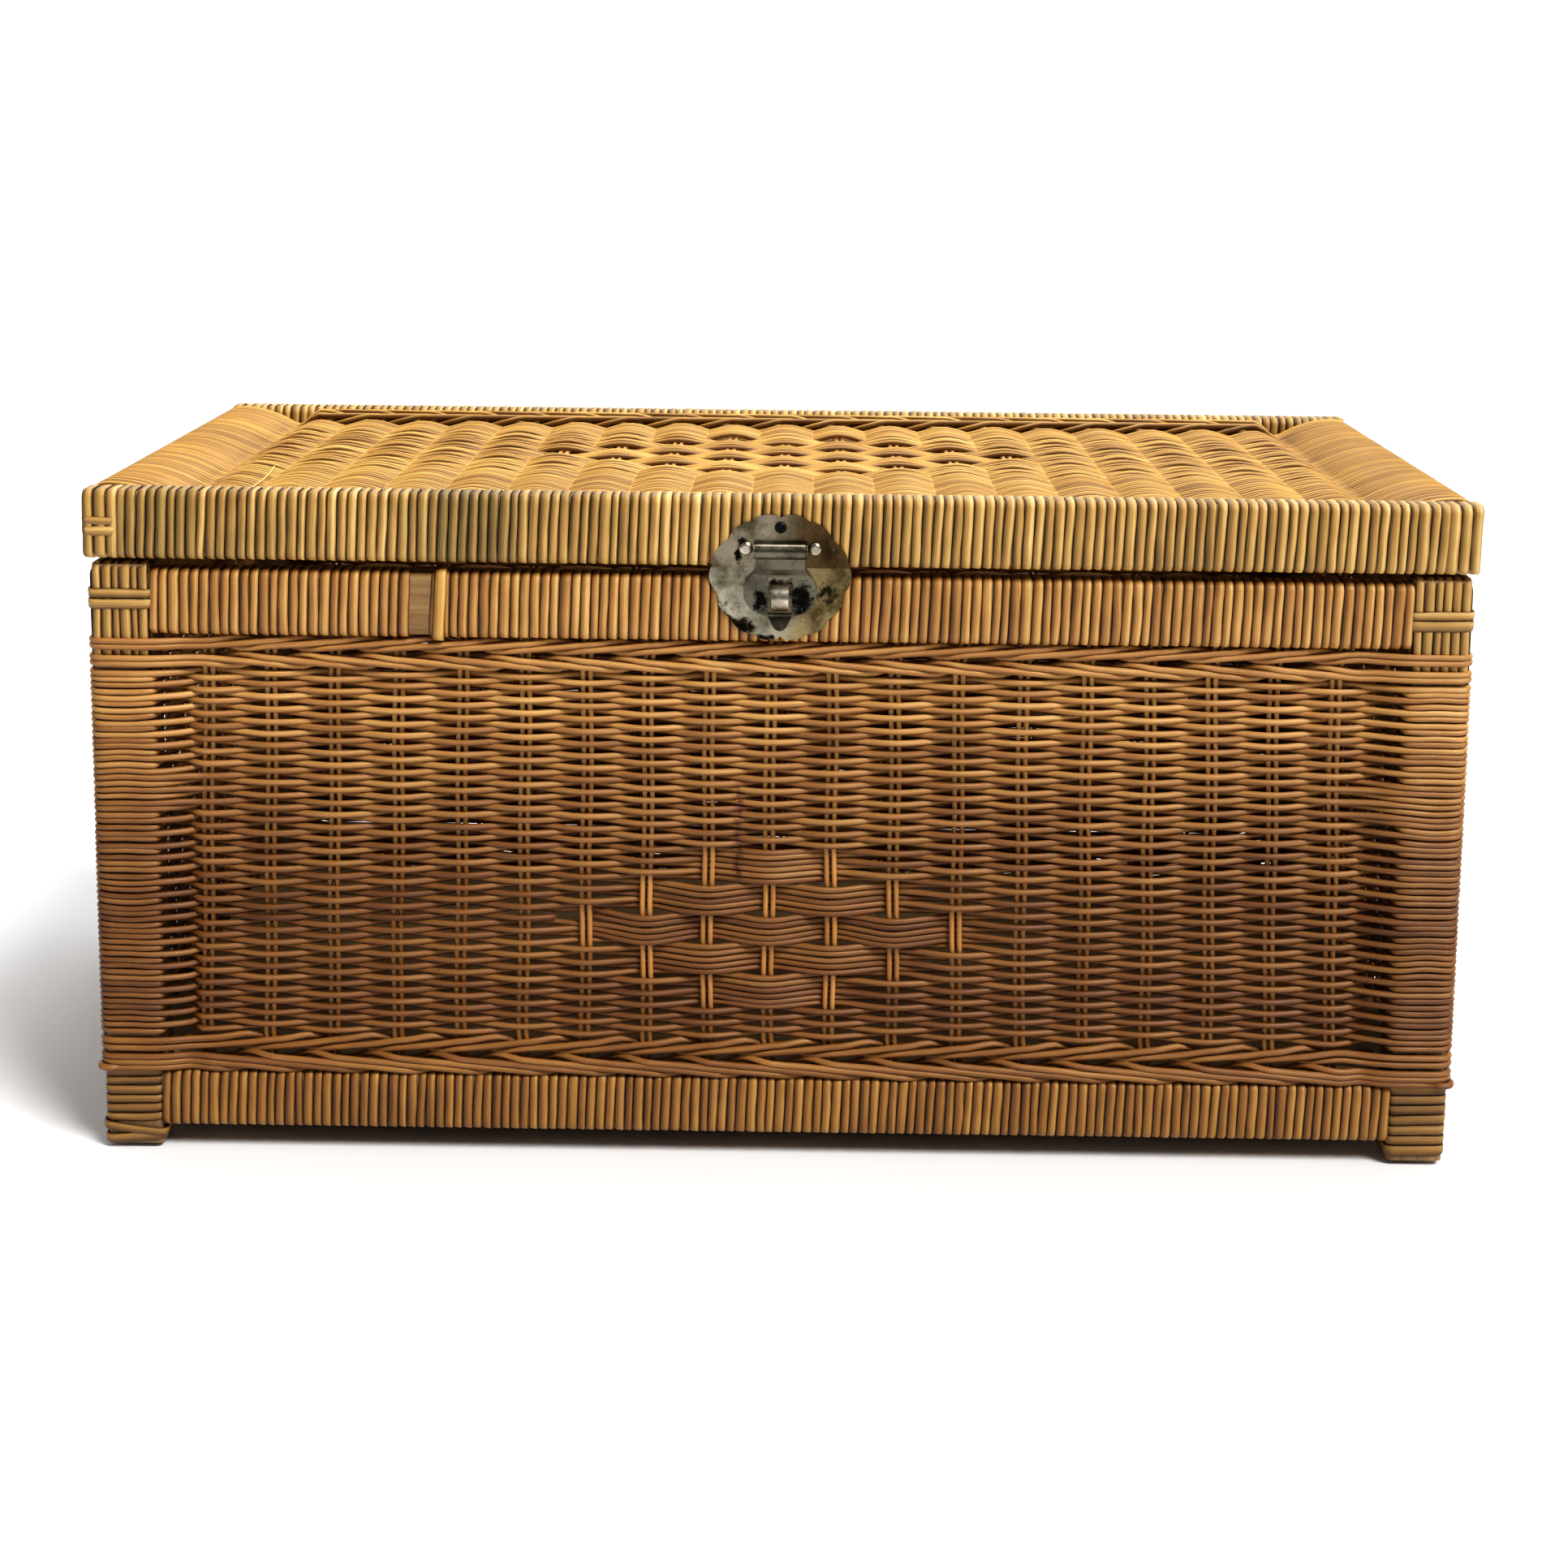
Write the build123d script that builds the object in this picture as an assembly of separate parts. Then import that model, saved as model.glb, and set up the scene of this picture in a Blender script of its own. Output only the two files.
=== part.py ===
from build123d import *
import os
from math import hypot

# A wicker storage trunk: a timber frame bound in flat reed, walls and lid woven in round reed, a
# lid hinged along the back and a scalloped hasp latch at the front. Millimetres, +Z up. X runs
# along the front, which faces -Y. The origin is on the floor, under the middle of the lid.

# ---- driving dimensions: lid ----
LID_WIDTH = 820.0
LID_DEPTH = 440.0
LID_TOP = 405.5
LID_HEIGHT = 41.5
LID_RAIL_DEPTH = 22.0
LID_SIDE_RAIL_WIDTH = 18.0
LID_PANEL_MID = 393.5
LID_STAKE_PITCH = 37.6
LID_WALE_WIDTH = 20.0
LID_SLOPE_START = 343.0

# ---- driving dimensions: body ----
POST_SIZE = 33.6
POST_TOP = 360.3
FRAME_HALF_WIDTH = 404.8
FRAME_FRONT = -214.5
FRAME_REAR = 218.5
RAIL_DEPTH = 22.0
TOP_RAIL = (319.8, 356.5)
BOTTOM_RAIL = (15.7, 48.9)
TIMBER_RADIUS = 4.0

# ---- driving dimensions: reed ----
FLAT_REED = 1.5
ROUND_REED = 3.4
STAKE_DIAMETER = 3.3
STAKE_SPACING = 4.5
STAKE_PITCH = 37.6
STAKES_LONG = 19
STAKES_SHORT = 9
STAKE_TO_POST = 33.0
STAKE_SETBACK = 8.5
STAKE_SOCKET = 8.0
WEAVE_THICKNESS = 10.0
WALE_THICKNESS = 13.0
BOTTOM_WALE_TOP = 72.7
TOP_WALE_BOTTOM = 297.2
SOCKET_CLEARANCE = 0.05

# ---- driving dimensions: floor and feet ----
FLOOR_THICKNESS = 5.0
FLOOR_PLAY = 0.5
BATTEN = (30.0, 20.0)
BATTEN_PLACES = (-200.0, 0.0, 200.0)
LEG_BOTTOM = 3.0
LEG_WRAP_BOTTOM = 3.5
GLIDE_DIAMETER = 18.0
GLIDE_ROUNDING = 1.0
GLIDE_NAIL = (2.4, 12.0)

# ---- driving dimensions: latch ----
PLATE_THICKNESS = 1.0
UPPER_PLATE_RISE = 0.4
LOWER_PLATE_DROP = 0.4
UPPER_CUSPS = ((40.0, 0.0), (30.6, 16.0), (16.7, 27.3), (0.0, 29.6))
LOWER_CUSPS = ((40.6, 0.0), (36.8, -15.0), (29.2, -30.0), (14.9, -39.8), (0.0, -41.0))
SCALLOP_BULGE = 2.7
HASP_AXIS_RISE = 10.8
HASP_GAP = 0.35
HASP_LEAF = 1.2
BARREL_DIAMETER = 9.5
BARREL_LENGTH = 28.8
HASP_PIN_DIAMETER = 5.0
PIN_END = 0.3
PIN_CLEARANCE = 0.05
EAR_THICKNESS = 0.9
EAR_GAP = 0.3
EAR_RADIUS = 4.4
HASP_HALF_WIDTH = 21.5
HASP_WIDEST_DROP = 14.5
HASP_JOG_DROPS = (0.5, 4.5)
HASP_BODY_GAP = 1.1
HASP_SLOT_WIDTH = 14.0
HASP_SLOT_DROPS = (6.0, 27.7)
TONGUE_HALF_WIDTHS = (7.0, 4.4)
TONGUE_DROPS = (29.0, 37.2)
TONGUE_ROUND = 2.9
TONGUE_KICK = 2.5
STAPLE_WIDTH = 10.0
STAPLE_STRIP = 1.5
STAPLE_HEIGHT = 16.0
STAPLE_REACH = 11.5
STAPLE_DROP = 17.5
STAPLE_LEG = 16.0
NAIL_HEAD = (8.2, 2.6)
NAIL_SHANK = (2.6, 14.0)
NAIL_PLACE = 20.2
NAIL_ABOVE_PIN = 0.8
DOME_ROUNDING = 0.9
HOLE_LEAD = 5.0
SCREW_HEAD = (6.9, 1.6)
SCREW_SHANK = (3.0, 15.0)
SCREW_RISE = 24.1
CROSS_RECESS = (4.2, 0.9, 1.0)

# ---- driving dimensions: hinges ----
HINGE_PLACES = (-250.0, 250.0)
HINGE_WIDTH = 50.0
HINGE_LEAF = 1.2
HINGE_LEAF_HEIGHT = 26.0
HINGE_LEAF_GAP = 0.45
HINGE_CORNER = 3.0
HINGE_NECK = 4.0
HINGE_KNUCKLE = 6.2
HINGE_PIN_DIAMETER = 3.0
HINGE_MIDDLE_KNUCKLE = 17.4
HINGE_PLAY = 0.3
HINGE_DROP = 3.0
HINGE_SCREW_HEAD = (6.0, 1.4)
HINGE_SCREW_SHANK = (2.6, 12.0)
HINGE_SCREW_SPACING = 30.0
HINGE_SCREW_REACH = 18.0

SIDES = ("front", "rear", "left", "right")


# ---- small tools ----
def block(low, high):
    """The box from its low corner to its high corner."""
    size = [b - a for a, b in zip(low, high)]
    middle = [(a + b) / 2 for a, b in zip(low, high)]
    return Pos(*middle) * Box(*size)


def beam(low, high, along, radius=TIMBER_RADIUS):
    """A straight bar filling a box, with its four long edges rounded."""
    bar = block(low, high)
    return fillet(bar.edges().filter_by(along), radius)


def sleeve(low, high, along, skin, radius=TIMBER_RADIUS):
    """A skin of even thickness around a beam, open at both ends."""
    grow = [0 if abs(part) > 0.5 else skin for part in along.direction]
    outer_low = [a - g for a, g in zip(low, grow)]
    outer_high = [b + g for b, g in zip(high, grow)]
    return beam(outer_low, outer_high, along, radius + skin) - beam(low, high, along, radius)


def rod(start, direction, radius, length):
    """A round rod from a point, along a direction."""
    return extrude(Plane(start, z_dir=direction) * Circle(radius), length)


def save(name, *solids):
    """Write one node: a single solid, or a group of separate solids."""
    shape = solids[0] if len(solids) == 1 else Compound(children=list(solids))
    export_step(shape, f"parts/{name}.step")


# ---- timber frame of the body ----
def post_box(x_side, y_side, z_low, z_high):
    """The corners of one post's stretch between two heights."""
    x_outer = x_side * FRAME_HALF_WIDTH
    x_inner = x_side * (FRAME_HALF_WIDTH - POST_SIZE)
    y_outer = FRAME_FRONT if y_side < 0 else FRAME_REAR
    y_inner = y_outer - y_side * POST_SIZE
    low = (min(x_outer, x_inner), min(y_outer, y_inner), z_low)
    high = (max(x_outer, x_inner), max(y_outer, y_inner), z_high)
    return low, high


def rail_box(side, z_low, z_high):
    """The corners of a rail that spans between two posts, flush with their outer faces."""
    x_post = FRAME_HALF_WIDTH - POST_SIZE
    y_front, y_rear = FRAME_FRONT + POST_SIZE, FRAME_REAR - POST_SIZE
    if side == "front":
        return (-x_post, FRAME_FRONT, z_low), (x_post, FRAME_FRONT + RAIL_DEPTH, z_high)
    if side == "rear":
        return (-x_post, FRAME_REAR - RAIL_DEPTH, z_low), (x_post, FRAME_REAR, z_high)
    if side == "left":
        return (-FRAME_HALF_WIDTH, y_front, z_low), (RAIL_DEPTH - FRAME_HALF_WIDTH, y_rear, z_high)
    return (FRAME_HALF_WIDTH - RAIL_DEPTH, y_front, z_low), (FRAME_HALF_WIDTH, y_rear, z_high)


def run_of(side):
    """The axis that a side's rails follow."""
    return Axis.X if side in ("front", "rear") else Axis.Y


# ---- woven walls ----
def stake_line(side):
    """The X of the side walls' stakes, or the Y of the front and rear walls' stakes."""
    return {
        "front": FRAME_FRONT + STAKE_SETBACK,
        "rear": FRAME_REAR - STAKE_SETBACK,
        "left": STAKE_SETBACK - FRAME_HALF_WIDTH,
        "right": FRAME_HALF_WIDTH - STAKE_SETBACK,
    }[side]


def stake_places(side):
    """Where each stake of a wall stands along the wall: the stakes are in close pairs."""
    if run_of(side) == Axis.X:
        pairs = [STAKE_PITCH * (n - (STAKES_LONG - 1) / 2) for n in range(STAKES_LONG)]
    else:
        first = FRAME_FRONT + POST_SIZE + STAKE_TO_POST
        last = FRAME_REAR - POST_SIZE - STAKE_TO_POST
        pitch = (last - first) / (STAKES_SHORT - 1)
        pairs = [first + pitch * n for n in range(STAKES_SHORT)]
    return [pair + half for pair in pairs for half in (-STAKE_SPACING / 2, STAKE_SPACING / 2)]


def wall_stakes(side, extra=0.0):
    """The upright stakes of a wall, let into the bottom and top rails."""
    z_low = BOTTOM_RAIL[1] - STAKE_SOCKET - extra
    z_high = TOP_RAIL[0] + STAKE_SOCKET + extra
    line, radius = stake_line(side), STAKE_DIAMETER / 2 + extra
    rods = []
    for place in stake_places(side):
        start = (place, line, z_low) if run_of(side) == Axis.X else (line, place, z_low)
        rods.append(rod(start, (0, 0, 1), radius, z_high - z_low))
    return rods


def wall_slab(side, z_low, z_high, thickness):
    """A flat slab on a wall's stake line, between the woven coats of the two posts."""
    line, half = stake_line(side), thickness / 2
    x_end = FRAME_HALF_WIDTH - POST_SIZE - ROUND_REED
    y_low = FRAME_FRONT + POST_SIZE + ROUND_REED
    y_high = FRAME_REAR - POST_SIZE - ROUND_REED
    if run_of(side) == Axis.X:
        return block((-x_end, line - half, z_low), (x_end, line + half, z_high))
    return block((line - half, y_low, z_low), (line + half, y_high, z_high))


# ---- fasteners ----
def round_head(place, outward, head, shank):
    """A nail or screw: a domed head on a surface, and a shank that runs into the work."""
    diameter, height = head
    into = tuple(-part for part in outward)
    dome = rod(place, outward, diameter / 2, height)
    rim = dome.faces().sort_by(Axis(place, outward))[-1].edges()
    return fillet(rim, height * DOME_ROUNDING) + rod(place, into, shank[0] / 2, shank[1])


def cross_headed(place, outward, head, shank):
    """A screw with a cross cut into its head."""
    screw = round_head(place, outward, head, shank)
    length, width, depth = CROSS_RECESS
    top = tuple(p + d * head[1] for p, d in zip(place, outward))
    for across in ((length, width), (width, length)):
        screw -= Plane(top, z_dir=outward) * Box(across[0], across[1], 2 * depth)
    return screw


def shank_hole(place, outward, shank):
    """The hole for a shank, from some way outside the surface to the shank's end."""
    start = tuple(p + d * HOLE_LEAD for p, d in zip(place, outward))
    into = tuple(-part for part in outward)
    return rod(start, into, shank[0] / 2 + SOCKET_CLEARANCE, HOLE_LEAD + shank[1])


# ---- latch, whose heights are counted from the lid's lower edge ----
LID_BOTTOM = LID_TOP - LID_HEIGHT
BODY_FRONT = FRAME_FRONT - FLAT_REED
LID_FRONT = -LID_DEPTH / 2
HASP_AXIS_Z = LID_BOTTOM + HASP_AXIS_RISE
STAPLE_MIDDLE = LID_BOTTOM - STAPLE_DROP
HASP_AXIS_Y = LID_FRONT - PLATE_THICKNESS - HASP_GAP - BARREL_DIAMETER / 2
STAPLE_ROOT = BODY_FRONT - PLATE_THICKNESS
FORWARD = (0, -1, 0)


def scalloped_plate(cusps, edge_z, back_y):
    """A thin plate with one straight edge and a row of round lobes that meet in cusps."""
    right = [(x, edge_z + z) for x, z in cusps]
    points = [(-x, z) for x, z in right] + right[-2::-1]
    lobes = []
    for (x1, z1), (x2, z2) in zip(points, points[1:]):
        length = hypot(x2 - x1, z2 - z1)
        turn = 1 if cusps[-1][1] > 0 else -1
        out_x, out_z = -turn * (z2 - z1) / length, turn * (x2 - x1) / length
        crown = ((x1 + x2) / 2 + SCALLOP_BULGE * out_x, (z1 + z2) / 2 + SCALLOP_BULGE * out_z)
        lobes.append(ThreePointArc((x1, z1), crown, (x2, z2)))
    outline = make_face(Curve() + lobes + [Line(points[-1], points[0])])
    on_front = Plane((0, back_y, 0), x_dir=(1, 0, 0), z_dir=FORWARD)
    return extrude(on_front * outline, PLATE_THICKNESS)


def upper_plate():
    """The lid's plate, with two upright ears that carry the hasp's pin."""
    plate = scalloped_plate(UPPER_CUSPS, LID_BOTTOM + UPPER_PLATE_RISE, LID_FRONT)
    near = BARREL_LENGTH / 2 + EAR_GAP
    for x_start in (near, -near - EAR_THICKNESS):
        low = (x_start, HASP_AXIS_Y, HASP_AXIS_Z - EAR_RADIUS)
        high = (x_start + EAR_THICKNESS, LID_FRONT, HASP_AXIS_Z + EAR_RADIUS)
        nose = rod((x_start, HASP_AXIS_Y, HASP_AXIS_Z), (1, 0, 0), EAR_RADIUS, EAR_THICKNESS)
        plate += block(low, high) + nose
    return plate - hasp_pin(PIN_CLEARANCE)


def hasp_pin(extra=0.0):
    """The pin through the hasp's barrel and both ears."""
    half = BARREL_LENGTH / 2 + EAR_GAP + EAR_THICKNESS + PIN_END
    start = (-half - extra, HASP_AXIS_Y, HASP_AXIS_Z)
    return rod(start, (1, 0, 0), HASP_PIN_DIAMETER / 2 + extra, 2 * (half + extra))


def hasp_outline():
    """The hasp seen from the front: a neck, a rounded body and a blunt tongue."""
    neck, wide = BARREL_LENGTH / 2, HASP_HALF_WIDTH
    neck_end = (neck, LID_BOTTOM - HASP_JOG_DROPS[0])
    widest = (wide, LID_BOTTOM - HASP_WIDEST_DROP)
    root = (TONGUE_HALF_WIDTHS[0], LID_BOTTOM - TONGUE_DROPS[0])
    tip = (TONGUE_HALF_WIDTHS[1], LID_BOTTOM - TONGUE_DROPS[1] + TONGUE_ROUND)
    half = Line((neck, HASP_AXIS_Z), neck_end)
    half += Spline(neck_end, widest, tangents=((0.5, -1), (0, -1)))
    half += Spline(widest, root, tangents=((0, -1), (-1, -0.25)))
    half += Line(root, tip)
    half += TangentArc(tip, (0, LID_BOTTOM - TONGUE_DROPS[1]), tangent=(tip[0] - root[0], tip[1] - root[1]))
    return make_face(half + mirror(half, Plane.YZ) + Line((-neck, HASP_AXIS_Z), (neck, HASP_AXIS_Z)))


def hasp_section():
    """The hasp's leaf seen from the side: it steps back below the lid, and its tongue kicks out."""
    upper = HASP_AXIS_Y + BARREL_DIAMETER / 2
    lower = STAPLE_ROOT - HASP_BODY_GAP
    line = [
        (upper, HASP_AXIS_Z),
        (upper, LID_BOTTOM - HASP_JOG_DROPS[0]),
        (lower, LID_BOTTOM - HASP_JOG_DROPS[1]),
        (lower, LID_BOTTOM - TONGUE_DROPS[0]),
        (lower - TONGUE_KICK, LID_BOTTOM - TONGUE_DROPS[1]),
    ]
    front = [(y - HASP_LEAF, z) for y, z in line]
    return make_face(Polyline(*line, *front[::-1], close=True))


def hasp():
    """The hasp: a leaf with a slot for the staple, rolled into a barrel at its top."""
    margin = 5
    seen_from_front = Plane((0, 0, 0), x_dir=(1, 0, 0), z_dir=FORWARD)
    front_shape = extrude(seen_from_front * hasp_outline(), -2 * HASP_AXIS_Y)
    side = Plane((-HASP_HALF_WIDTH - margin, 0, 0), x_dir=(0, 1, 0), z_dir=(1, 0, 0))
    leaf = extrude(side * hasp_section(), 2 * (HASP_HALF_WIDTH + margin)) & front_shape
    slot_high, slot_low = (LID_BOTTOM - drop for drop in HASP_SLOT_DROPS)
    half = HASP_SLOT_WIDTH / 2
    leaf -= block((-half, 2 * HASP_AXIS_Y, slot_low), (half, 0, slot_high))
    barrel_start = (-BARREL_LENGTH / 2, HASP_AXIS_Y, HASP_AXIS_Z)
    leaf += rod(barrel_start, (1, 0, 0), BARREL_DIAMETER / 2, BARREL_LENGTH)
    return leaf - hasp_pin(PIN_CLEARANCE)


def staple():
    """The fixed eye: a strip bent to an arch, with both legs driven into the top rail."""
    radius, leg_end = STAPLE_HEIGHT / 2, STAPLE_ROOT + STAPLE_LEG
    crown = STAPLE_ROOT - STAPLE_REACH + radius
    side = Plane((-STAPLE_WIDTH / 2, 0, STAPLE_MIDDLE), x_dir=(0, 1, 0), z_dir=(1, 0, 0))

    def arch(edge):
        path = Line((leg_end, edge), (crown, edge))
        path += ThreePointArc((crown, edge), (crown - edge, 0), (crown, -edge))
        path += Line((crown, -edge), (leg_end, -edge))
        return extrude(side * make_face(path + Line((leg_end, -edge), (leg_end, edge))), STAPLE_WIDTH)

    return arch(radius) - arch(radius - STAPLE_STRIP)


def staple_leg_slots():
    """Slots in the plate, binding and rail for the staple's two legs."""
    room = SOCKET_CLEARANCE
    slots = []
    for side in (-1, 1):
        outer = STAPLE_MIDDLE + side * (STAPLE_HEIGHT / 2 + room)
        inner = STAPLE_MIDDLE + side * (STAPLE_HEIGHT / 2 - STAPLE_STRIP - room)
        low = (-STAPLE_WIDTH / 2 - room, STAPLE_ROOT - 1, min(outer, inner))
        high = (STAPLE_WIDTH / 2 + room, STAPLE_ROOT + STAPLE_LEG + room, max(outer, inner))
        slots.append(block(low, high))
    return slots


# ---- hinges ----
REAR_FACE = LID_DEPTH / 2
HINGE_AXIS_Y = REAR_FACE + HINGE_KNUCKLE / 2
HINGE_AXIS_Z = LID_BOTTOM - HINGE_DROP
BACKWARD = (0, 1, 0)


def hinge_leaf(x_middle, up):
    """One leaf of a hinge: the lid's, up of 1, with the middle knuckle, or the body's with the others."""
    half, inner = HINGE_WIDTH / 2, HINGE_MIDDLE_KNUCKLE / 2
    near = HINGE_AXIS_Z + up * (HINGE_KNUCKLE / 2 + HINGE_LEAF_GAP)
    far = near + up * HINGE_LEAF_HEIGHT
    y_low, y_high = REAR_FACE, REAR_FACE + HINGE_LEAF
    corner_low = (x_middle - half, y_low, min(near, far))
    corner_high = (x_middle + half, y_high, max(near, far))
    leaf = fillet(block(corner_low, corner_high).edges().filter_by(Axis.Y), HINGE_CORNER)
    outer_start = inner + HINGE_PLAY
    spans = [(-inner, inner)] if up > 0 else [(-half, -outer_start), (outer_start, half)]
    for x_low, x_high in spans:
        start = (x_middle + x_low, HINGE_AXIS_Y, HINGE_AXIS_Z)
        neck_end = near + up * HINGE_NECK
        neck_low = (x_middle + x_low, y_low, min(HINGE_AXIS_Z, neck_end))
        neck_high = (x_middle + x_high, y_high, max(HINGE_AXIS_Z, neck_end))
        leaf += rod(start, (1, 0, 0), HINGE_KNUCKLE / 2, x_high - x_low) + block(neck_low, neck_high)
    holes = [shank_hole(place, BACKWARD, HINGE_SCREW_SHANK) for place in hinge_screws(x_middle, up)]
    return leaf - hinge_pin(x_middle, PIN_CLEARANCE) - holes


def hinge_pin(x_middle, extra=0.0):
    """The pin through a hinge's three knuckles."""
    start = (x_middle - HINGE_WIDTH / 2 - extra, HINGE_AXIS_Y, HINGE_AXIS_Z)
    return rod(start, (1, 0, 0), HINGE_PIN_DIAMETER / 2 + extra, HINGE_WIDTH + 2 * extra)


def hinge_screws(x_middle, up):
    """Where a leaf's two screws sit on its outer face."""
    z = HINGE_AXIS_Z + up * HINGE_SCREW_REACH
    half = HINGE_SCREW_SPACING / 2
    return [(x_middle + side * half, REAR_FACE + HINGE_LEAF, z) for side in (-1, 1)]


def screw_holes(up):
    """The holes behind all the hinge screws of the lid, up of 1, or of the body."""
    places = [place for x in HINGE_PLACES for place in hinge_screws(x, up)]
    return [shank_hole(place, BACKWARD, HINGE_SCREW_SHANK) for place in places]


# ---- lid ----
LID_TIMBER = (LID_BOTTOM + FLAT_REED, LID_TOP - FLAT_REED)
LID_SIDE_TIMBER = (LID_BOTTOM + FLAT_REED, LID_TOP - ROUND_REED)
LID_SIDE_OUTER = LID_WIDTH / 2 - ROUND_REED
LID_SIDE_INNER = LID_SIDE_OUTER - LID_SIDE_RAIL_WIDTH
LID_END = LID_DEPTH / 2 - FLAT_REED
LID_RAIL_INNER = LID_END - LID_RAIL_DEPTH


def lid_rail_box(side):
    """The corners of one lid rail. The side rails run the whole depth, with the others between them."""
    if side in ("front", "rear"):
        y_low, y_high = (-LID_END, -LID_RAIL_INNER) if side == "front" else (LID_RAIL_INNER, LID_END)
        return (-LID_SIDE_INNER, y_low, LID_TIMBER[0]), (LID_SIDE_INNER, y_high, LID_TIMBER[1])
    z_low, z_high = LID_SIDE_TIMBER
    if side == "left":
        return (-LID_SIDE_OUTER, -LID_END, z_low), (-LID_SIDE_INNER, LID_END, z_high)
    return (LID_SIDE_INNER, -LID_END, z_low), (LID_SIDE_OUTER, LID_END, z_high)


def lid_band(y_low, y_high):
    """Woven work across the lid: flat over the stakes, rising at both ends to the side rails."""
    half, edge = WEAVE_THICKNESS / 2, LID_SIDE_INNER - ROUND_REED
    right = [
        (LID_SLOPE_START, LID_PANEL_MID - half),
        (edge, LID_TOP - ROUND_REED),
        (edge, LID_TOP),
        (LID_SLOPE_START, LID_PANEL_MID + half),
    ]
    left = [(-x, z) for x, z in right[::-1]]
    across = Plane((0, y_low, 0), x_dir=(1, 0, 0), z_dir=FORWARD)
    return extrude(across * make_face(Polyline(*right, *left, close=True)), y_low - y_high)


def lid_stakes(extra=0.0):
    """The lid's stakes, from the front rail to the rear rail."""
    reach, radius = LID_RAIL_INNER + STAKE_SOCKET + extra, STAKE_DIAMETER / 2 + extra
    rods = []
    for n in range(STAKES_LONG):
        for half in (-STAKE_SPACING / 2, STAKE_SPACING / 2):
            x = LID_STAKE_PITCH * (n - (STAKES_LONG - 1) / 2) + half
            rods.append(rod((x, -reach, LID_PANEL_MID), (0, 1, 0), radius, 2 * reach))
    return rods


def lid_corner_wrap(x_side, y_side):
    """Flat reed over the end of a side rail, where the front or rear rail meets it."""
    low, high = lid_rail_box("right" if x_side > 0 else "left")
    y_inner = LID_RAIL_INNER - FLAT_REED
    y_low, y_high = (-LID_DEPTH / 2, -y_inner) if y_side < 0 else (y_inner, LID_DEPTH / 2)
    outer_low = (low[0] - FLAT_REED, y_low, low[2] - FLAT_REED)
    outer_high = (high[0] + FLAT_REED, y_high, high[2] + FLAT_REED)
    coat = beam(outer_low, outer_high, Axis.Y, TIMBER_RADIUS + FLAT_REED)
    return coat - beam(low, high, Axis.Y)


# ---- build every node ----
os.makedirs("parts", exist_ok=True)

CORNERS = {
    "front_left": (-1, -1),
    "front_right": (1, -1),
    "rear_left": (-1, 1),
    "rear_right": (1, 1),
}
stakes = {side: wall_stakes(side) for side in SIDES}
stake_holes = {side: wall_stakes(side, SOCKET_CLEARANCE) for side in SIDES}
leg_slots = staple_leg_slots()
rail_cuts = {side: stake_holes[side] for side in SIDES}
rail_cuts["front"] = stake_holes["front"] + leg_slots
rail_cuts["rear"] = stake_holes["rear"] + screw_holes(-1)

# posts, and the glides nailed under them
glides = []
nail_diameter, nail_length = GLIDE_NAIL
for name, (x_side, y_side) in CORNERS.items():
    low, high = post_box(x_side, y_side, LEG_BOTTOM, POST_TOP)
    foot = ((low[0] + high[0]) / 2, (low[1] + high[1]) / 2, LEG_BOTTOM)
    glide = rod(foot, (0, 0, -1), GLIDE_DIAMETER / 2, LEG_BOTTOM)
    glide = fillet(glide.faces().sort_by(Axis.Z)[0].edges(), GLIDE_ROUNDING)
    glides.append(glide + rod(foot, (0, 0, 1), nail_diameter / 2, nail_length))
    hole = rod(foot, (0, 0, 1), nail_diameter / 2 + SOCKET_CLEARANCE, nail_length + SOCKET_CLEARANCE)
    save(f"corner_post_{name}", beam(low, high, Axis.Z) - hole)
save("foot_glides", *glides)

# rails and their flat reed binding
top_wraps, bottom_wraps = [], []
for side in SIDES:
    along = run_of(side)
    low, high = rail_box(side, *TOP_RAIL)
    save(f"top_rail_{side}", beam(low, high, along) - rail_cuts[side])
    top_wraps.append(sleeve(low, high, along, FLAT_REED) - rail_cuts[side])
    low, high = rail_box(side, *BOTTOM_RAIL)
    save(f"bottom_rail_{side}", beam(low, high, along) - stake_holes[side])
    bottom_wraps.append(sleeve(low, high, along, FLAT_REED) - stake_holes[side])
save("top_rail_wraps", *top_wraps)
save("bottom_rail_wraps", *bottom_wraps)

# flat reed on the posts' tops and legs, round reed on the stretch between them
post_top_wraps, leg_wraps, corner_weaves = [], [], []
top_wrap_bottom = TOP_RAIL[0] - FLAT_REED
leg_wrap_top = BOTTOM_RAIL[1] + FLAT_REED
for x_side, y_side in CORNERS.values():
    ends = []
    for side in ("front" if y_side < 0 else "rear", "left" if x_side < 0 else "right"):
        for z_low, z_high in (TOP_RAIL, BOTTOM_RAIL):
            low, high = rail_box(side, z_low - FLAT_REED, z_high + FLAT_REED)
            grow = (0, FLAT_REED, 0) if run_of(side) == Axis.X else (FLAT_REED, 0, 0)
            ends.append(block([a - g for a, g in zip(low, grow)], [b + g for b, g in zip(high, grow)]))
    low, high = post_box(x_side, y_side, top_wrap_bottom, POST_TOP)
    capped = beam(
        (low[0] - FLAT_REED, low[1] - FLAT_REED, low[2]),
        (high[0] + FLAT_REED, high[1] + FLAT_REED, high[2] + FLAT_REED),
        Axis.Z,
        TIMBER_RADIUS + FLAT_REED,
    )
    post_top_wraps.append(capped - beam(low, high, Axis.Z) - ends)
    low, high = post_box(x_side, y_side, LEG_WRAP_BOTTOM, leg_wrap_top)
    leg_wraps.append(sleeve(low, high, Axis.Z, FLAT_REED) - ends)
    low, high = post_box(x_side, y_side, leg_wrap_top, top_wrap_bottom)
    corner_weaves.append(sleeve(low, high, Axis.Z, ROUND_REED))
save("post_top_wraps", *post_top_wraps)
save("leg_wraps", *leg_wraps)
save("corner_weaves", *corner_weaves)

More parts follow.
